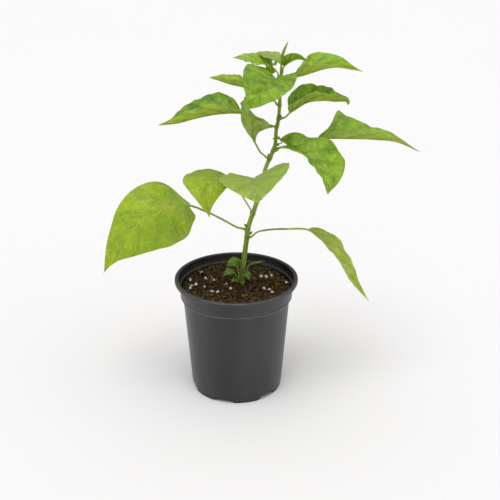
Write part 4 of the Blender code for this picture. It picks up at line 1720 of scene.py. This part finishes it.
@dataclass(frozen=True)
class Scatter:
    """How loose bits lie on the soil.

    margin is kept clear along the pot's wall, and tilt is the steepest lean, in radians. A bit's
    size is least + spread * draw ** power, and it is lifted by lift + lift_by_size * size.
    """

    count: int
    margin: float
    tilt: float
    least: float
    spread: float
    power: float = 1.0
    lift: float = 0.0
    lift_by_size: float = 0.0


# Perlite grains: place to the right and to the rear, and half size.
PERLITE_SPOTS: tuple[Point, ...] = (
    (-35, 27.5, 1.5), (-25.5, 18, 1.1), (-30.5, 15, 1.4), (-22, 8.5, 1.1), (-45.5, 10, 1.3),
    (-39.5, 0.5, 1.5), (-43.5, -2, 1.3), (-44.5, -8, 1.2), (-31, -3.5, 0.9), (-23, -14.5, 1.5),
    (-18, -13.5, 1.4), (-5.5, -9, 1.2), (-9.5, 0.5, 0.9), (24.5, 19.5, 1.5), (29.5, 17, 1.6),
    (35, 21.5, 1.4), (27, -8, 1.5), (32, -10, 1.6), (34.5, -16, 1.2), (49, 5, 1.2),
)


@dataclass
class PottingMix:
    """Dark lumpy soil with crumbs, fibres, bark chips and perlite."""

    level: float = 106.3
    lump: float = 1.0
    mound: float = 1.4
    mound_spread: float = 16.0
    stem_foot: tuple[float, float] = (4.0, 5.0)
    radius: float = 53.2
    top_rows: int = 90
    columns: int = 220
    underside: tuple[tuple[float, float], ...] = (
        (0, 2.4), (31, 2.4), (31, 7.2), (42.5, 7.2), (49.6, 94.0), (51.4, 98.6),
    )
    wall_top: float = 103.8
    crumbs: Scatter = Scatter(900, 1.5, 3.1, 0.45, 1.45, 2.5, lift_by_size=0.15)
    bark: Scatter = Scatter(110, 3.0, 0.6, 0.45, 0.9, 2.0, lift=0.3)
    fibres: Scatter = Scatter(220, 5.0, 0.35, 0.45, 0.75, lift=0.45)
    fibre_radius: float = 0.16
    seed: int = 12
    perlite_spots: tuple[Point, ...] = PERLITE_SPOTS

    def height(self, x: float, y: float) -> float:
        """Height of the soil surface above a point of the pot's floor.

        Args:
            x: Place to the right, in millimetres.
            y: Place to the rear, in millimetres.

        Returns:
            The height, in millimetres.
        """
        from_stem = math.hypot(x - self.stem_foot[0], y - self.stem_foot[1])
        coarse = noise.noise(Vector((x / 9, y / 9, 0.3)))
        middle = noise.noise(Vector((x / 4, y / 4, 7.1)))
        mound = self.mound * bell(from_stem, self.mound_spread)
        return self.level + mound + self.lump * (coarse + 0.5 * middle)

    def fine_height(self, x: float, y: float) -> float:
        """Height of the surface with its small clods.

        Args:
            x: Place to the right, in millimetres.
            y: Place to the rear, in millimetres.

        Returns:
            The height, in millimetres.
        """
        clod = abs(noise.noise(Vector((x / 2.3, y / 2.3, 3.0))))
        grit = noise.noise(Vector((x / 0.9, y / 0.9, 5.0)))
        return self.height(x, y) + 2.6 * clod + 0.5 * grit - 0.1

    def surface(self, across: float, along: float) -> Vector:
        """Point of the soil's skin, from the underside's middle out, up the wall and over the top.

        Args:
            across: Share of a turn around the pot's axis.
            along: Share of the rows of the skin.

        Returns:
            The point, in millimetres.
        """
        side = [*self.underside, (self.radius - 0.3, self.wall_top)]
        row = round(along * (len(side) - 1 + self.top_rows))
        turn = 2 * math.pi * across
        if row < len(side):
            radius, height = side[row]
            return Vector((radius * math.cos(turn), radius * math.sin(turn), height))
        share = (row - len(side) + 1) / self.top_rows
        radius = self.radius * (1 - share)
        x, y = radius * math.cos(turn), radius * math.sin(turn)
        return Vector((x, y, self.fine_height(x, y) - 1.0 * bell(self.radius - radius, 1.2)))

    def random_spot(self, draw: random.Random, margin: float) -> Vector:
        """Pick a point on the soil, evenly over its area.

        Args:
            draw: The source of random numbers.
            margin: Ring that is kept clear along the wall, in millimetres.

        Returns:
            The point, in millimetres.
        """
        radius = (self.radius - margin) * math.sqrt(draw.random())
        turn = 2 * math.pi * draw.random()
        x, y = radius * math.cos(turn), radius * math.sin(turn)
        return Vector((x, y, self.fine_height(x, y)))

    @staticmethod
    def placed(spot: Vector, draw: random.Random, size: float, tilt: float) -> Matrix:
        """Random turn, tilt and size at a spot, in metres.

        Args:
            spot: The place, in millimetres.
            draw: The source of random numbers.
            size: Scale of the bit.
            tilt: Steepest lean, in radians.

        Returns:
            The place of one bit, in metres.
        """
        lean = draw.uniform(-tilt, tilt), draw.uniform(-tilt, tilt)
        turn = Euler((*lean, draw.uniform(0, 6.283)))
        return Matrix.Translation(spot * MM) @ turn.to_matrix().to_4x4() @ Matrix.Scale(size, 4)

    def scatter(self, draw: random.Random, way: Scatter) -> list[Matrix]:
        """Pick a random place on the soil for each loose bit of one kind.

        Args:
            draw: The source of random numbers.
            way: How this kind lies.

        Returns:
            The places, in metres.
        """
        places = []
        for _ in range(way.count):
            spot = self.random_spot(draw, way.margin)
            size = way.least + way.spread * draw.random() ** way.power
            lift = way.lift + way.lift_by_size * size
            places.append(self.placed(spot + Vector((0, 0, lift)), draw, size, way.tilt))
        return places

    def build_bed(self) -> Piece:
        """Model the soil body that fills the pot.

        Returns:
            The finished soil.
        """
        rows = len(self.underside) + self.top_rows
        bed = shaped_grid("soil_bed", self.columns, rows, self.surface)
        tidy_skin(bed)
        smooth(bed, 70.0)
        dress(bed, "potting_soil", [Mix.BED.value.make()], "soil")
        return bed

    def build_crumbs(self) -> Piece:
        """Model the loose crumbs of peat that lie on the soil.

        Returns:
            The finished crumbs, as one piece.
        """
        draw = random.Random(self.seed)
        models = [lumpy_ball(k + 0.5, 2, (1.0, 0.85, 0.7), 0.75) for k in range(7)]
        crumbs = spread_copies("peat_crumbs", models, self.scatter(draw, self.crumbs))
        dress(crumbs, "potting_soil", [Mix.CRUMB.value.make()])
        return crumbs

    def build_bark(self) -> Piece:
        """Model the flat orange-brown chips of bark.

        Returns:
            The finished chips, as one piece.
        """
        draw = random.Random(self.seed + 1)
        models = [lumpy_ball(k + 20.0, 2, (1.9, 0.95 + 0.1 * k, 0.45), 0.6) for k in range(6)]
        bark = spread_copies("bark_chips", models, self.scatter(draw, self.bark))
        dress(bark, "potting_soil", [Mix.BARK.value.make()])
        return bark

    def fibre_model(self, draw: random.Random) -> Piece:
        """Model one thin curved fibre at the origin.

        Args:
            draw: The source of random numbers.

        Returns:
            The fibre.
        """
        bow, hook = draw.uniform(-2.0, 2.0), draw.uniform(-1.5, 1.5)
        line = Route(((-3.5, 0, 0), (-1, bow, 0.5), (1.4, bow * 0.6, 0.2), (3.6, hook, 0.6)))

        def skin(across: float, along: float) -> Vector:
            """Point of the fibre's skin.

            Args:
                across: Share of a turn around the fibre.
                along: Share of its length.

            Returns:
                The point, in millimetres.
            """
            if along in (0.0, 1.0):
                return line.at(along)
            heading = line.heading(along)
            side = Vector((0, 0, 1)).cross(heading).normalized()
            turn = 2 * math.pi * across
            around = math.cos(turn) * side + math.sin(turn) * heading.cross(side)
            return line.at(along) + self.fibre_radius * around

        fibre = shaped_grid("fibre", 5, 9, skin)
        tidy_skin(fibre)
        smooth(fibre, 80.0)
        return fibre

    def build_fibres(self) -> Piece:
        """Model the fibres and fine roots that lie over the soil.

        Returns:
            The finished fibres, as one piece.
        """
        draw = random.Random(self.seed + 2)
        models = [self.fibre_model(draw) for _ in range(7)]
        fibres = spread_copies("peat_fibres", models, self.scatter(draw, self.fibres))
        dress(fibres, "potting_soil", [Mix.FIBRE.value.make()])
        return fibres

    def build_perlite(self) -> Piece:
        """Model the white perlite grains where they lie.

        Returns:
            The finished grains, as one piece.
        """
        draw = random.Random(self.seed + 3)
        models = [lumpy_ball(k + 40.0, 3, (1.0, 0.9, 0.8), 0.45) for k in range(6)]
        places = []
        for x, y, size in self.perlite_spots:
            spot = Vector((x, y, self.fine_height(x, y) + 0.45 * size))
            places.append(self.placed(spot, draw, 1.15 * size, 3.1))
        grains = spread_copies("perlite_grains", models, places)
        dress(grains, "potting_soil", [Mix.PERLITE.value.make()])
        return grains

    def build(self) -> None:
        """Model the soil and everything that lies on it."""
        self.build_bed()
        self.build_crumbs()
        self.build_bark()
        self.build_fibres()
        self.build_perlite()


# ---------------------------------------------------------------- studio


@dataclass(frozen=True)
class SoftLight:
    """One wide soft light: the way it shines, its spread in degrees and its share of the light."""

    name: str
    aim: Point
    spread: float
    share: float


@dataclass
class Studio:
    """Pale floor, soft lights and the camera."""

    camera_place: Point = (0.0133, -0.880, 0.5308)
    camera_pitch: float = 66.3
    lens: float = 72.0
    floor_size: float = 16.0
    sky_strength: tuple[float, float] = (0.27, 0.87)
    sun_strength: float = 1.22
    lights: tuple[SoftLight, ...] = (
        SoftLight("key_light", (0.16, 0.36, -1.0), 36.0, 0.83),
        SoftLight("fill_light", (-0.8, 0.35, -0.8), 60.0, 0.25),
    )

    def floor(self) -> None:
        """Lay the floor that the pot stands on."""
        deselect_all()
        bpy.ops.mesh.primitive_grid_add(x_subdivisions=8, y_subdivisions=8, size=self.floor_size)
        floor = bpy.context.active_object
        floor.name = "studio_floor"
        floor.data.transform(Matrix.Translation((0, 0, -0.0002)))
        floor.data.materials.append(FloorFinish("studio_floor").make())

    def sky(self) -> None:
        """Fill the studio with pale light, brighter overhead, shown with plain unaltered tones."""
        world = bpy.data.worlds.new("studio_sky")
        world.use_nodes = True
        background = world.node_tree.nodes["Background"]
        background.inputs["Color"].default_value = (1.0, 0.995, 0.99, 1.0)
        place = world.node_tree.nodes.new("ShaderNodeTexCoord").outputs["Generated"]
        split = world.node_tree.nodes.new("ShaderNodeSeparateXYZ")
        level = world.node_tree.nodes.new("ShaderNodeMapRange")
        level.inputs["To Min"].default_value, level.inputs["To Max"].default_value = self.sky_strength
        world.node_tree.links.new(place, split.inputs[0])
        world.node_tree.links.new(split.outputs["Z"], level.inputs["Value"])
        world.node_tree.links.new(level.outputs["Result"], background.inputs["Strength"])
        bpy.context.scene.world = world
        bpy.context.scene.view_settings.view_transform = "Standard"

    def hang(self, plan: SoftLight) -> None:
        """Hang one wide soft light that reaches the whole floor evenly.

        Args:
            plan: The light to hang.
        """
        deselect_all()
        bpy.ops.object.light_add(type="SUN", location=(0, 0, 2.0))
        light = bpy.context.active_object
        light.name = plan.name
        light.data.angle = math.radians(plan.spread)
        light.data.energy = self.sun_strength * plan.share
        light.rotation_euler = Vector(plan.aim).to_track_quat("-Z", "Y").to_euler()

    def camera(self) -> None:
        """Set up the camera in front of and above the plant."""
        deselect_all()
        pitch = math.radians(self.camera_pitch)
        bpy.ops.object.camera_add(location=self.camera_place, rotation=(pitch, 0, 0))
        camera = bpy.context.active_object
        camera.name = "studio_camera"
        camera.data.lens = self.lens
        camera.data.sensor_width = 36.0
        camera.data.clip_start = 0.01
        bpy.context.scene.camera = camera

    def build(self) -> None:
        """Set up the whole studio."""
        self.floor()
        self.sky()
        for plan in self.lights:
            self.hang(plan)
        self.camera()


# ---------------------------------------------------------------- main


def main() -> None:
    """Build the plant, its pot and the studio."""
    logging.basicConfig(level=logging.INFO, format="%(name)s: %(message)s")
    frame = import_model()
    log.info("frame loaded: %d solids", len(frame["nodes"]))
    studio = Studio()
    studio.build()
    NurseryPot().build()
    PottingMix().build()
    stem = Stem()
    stem.build()
    for leaf in main_leaves() + shoot_leaves():
        leaf.build(stem)
    AxilBuds().build(stem)


if __name__ == "__main__":
    main()
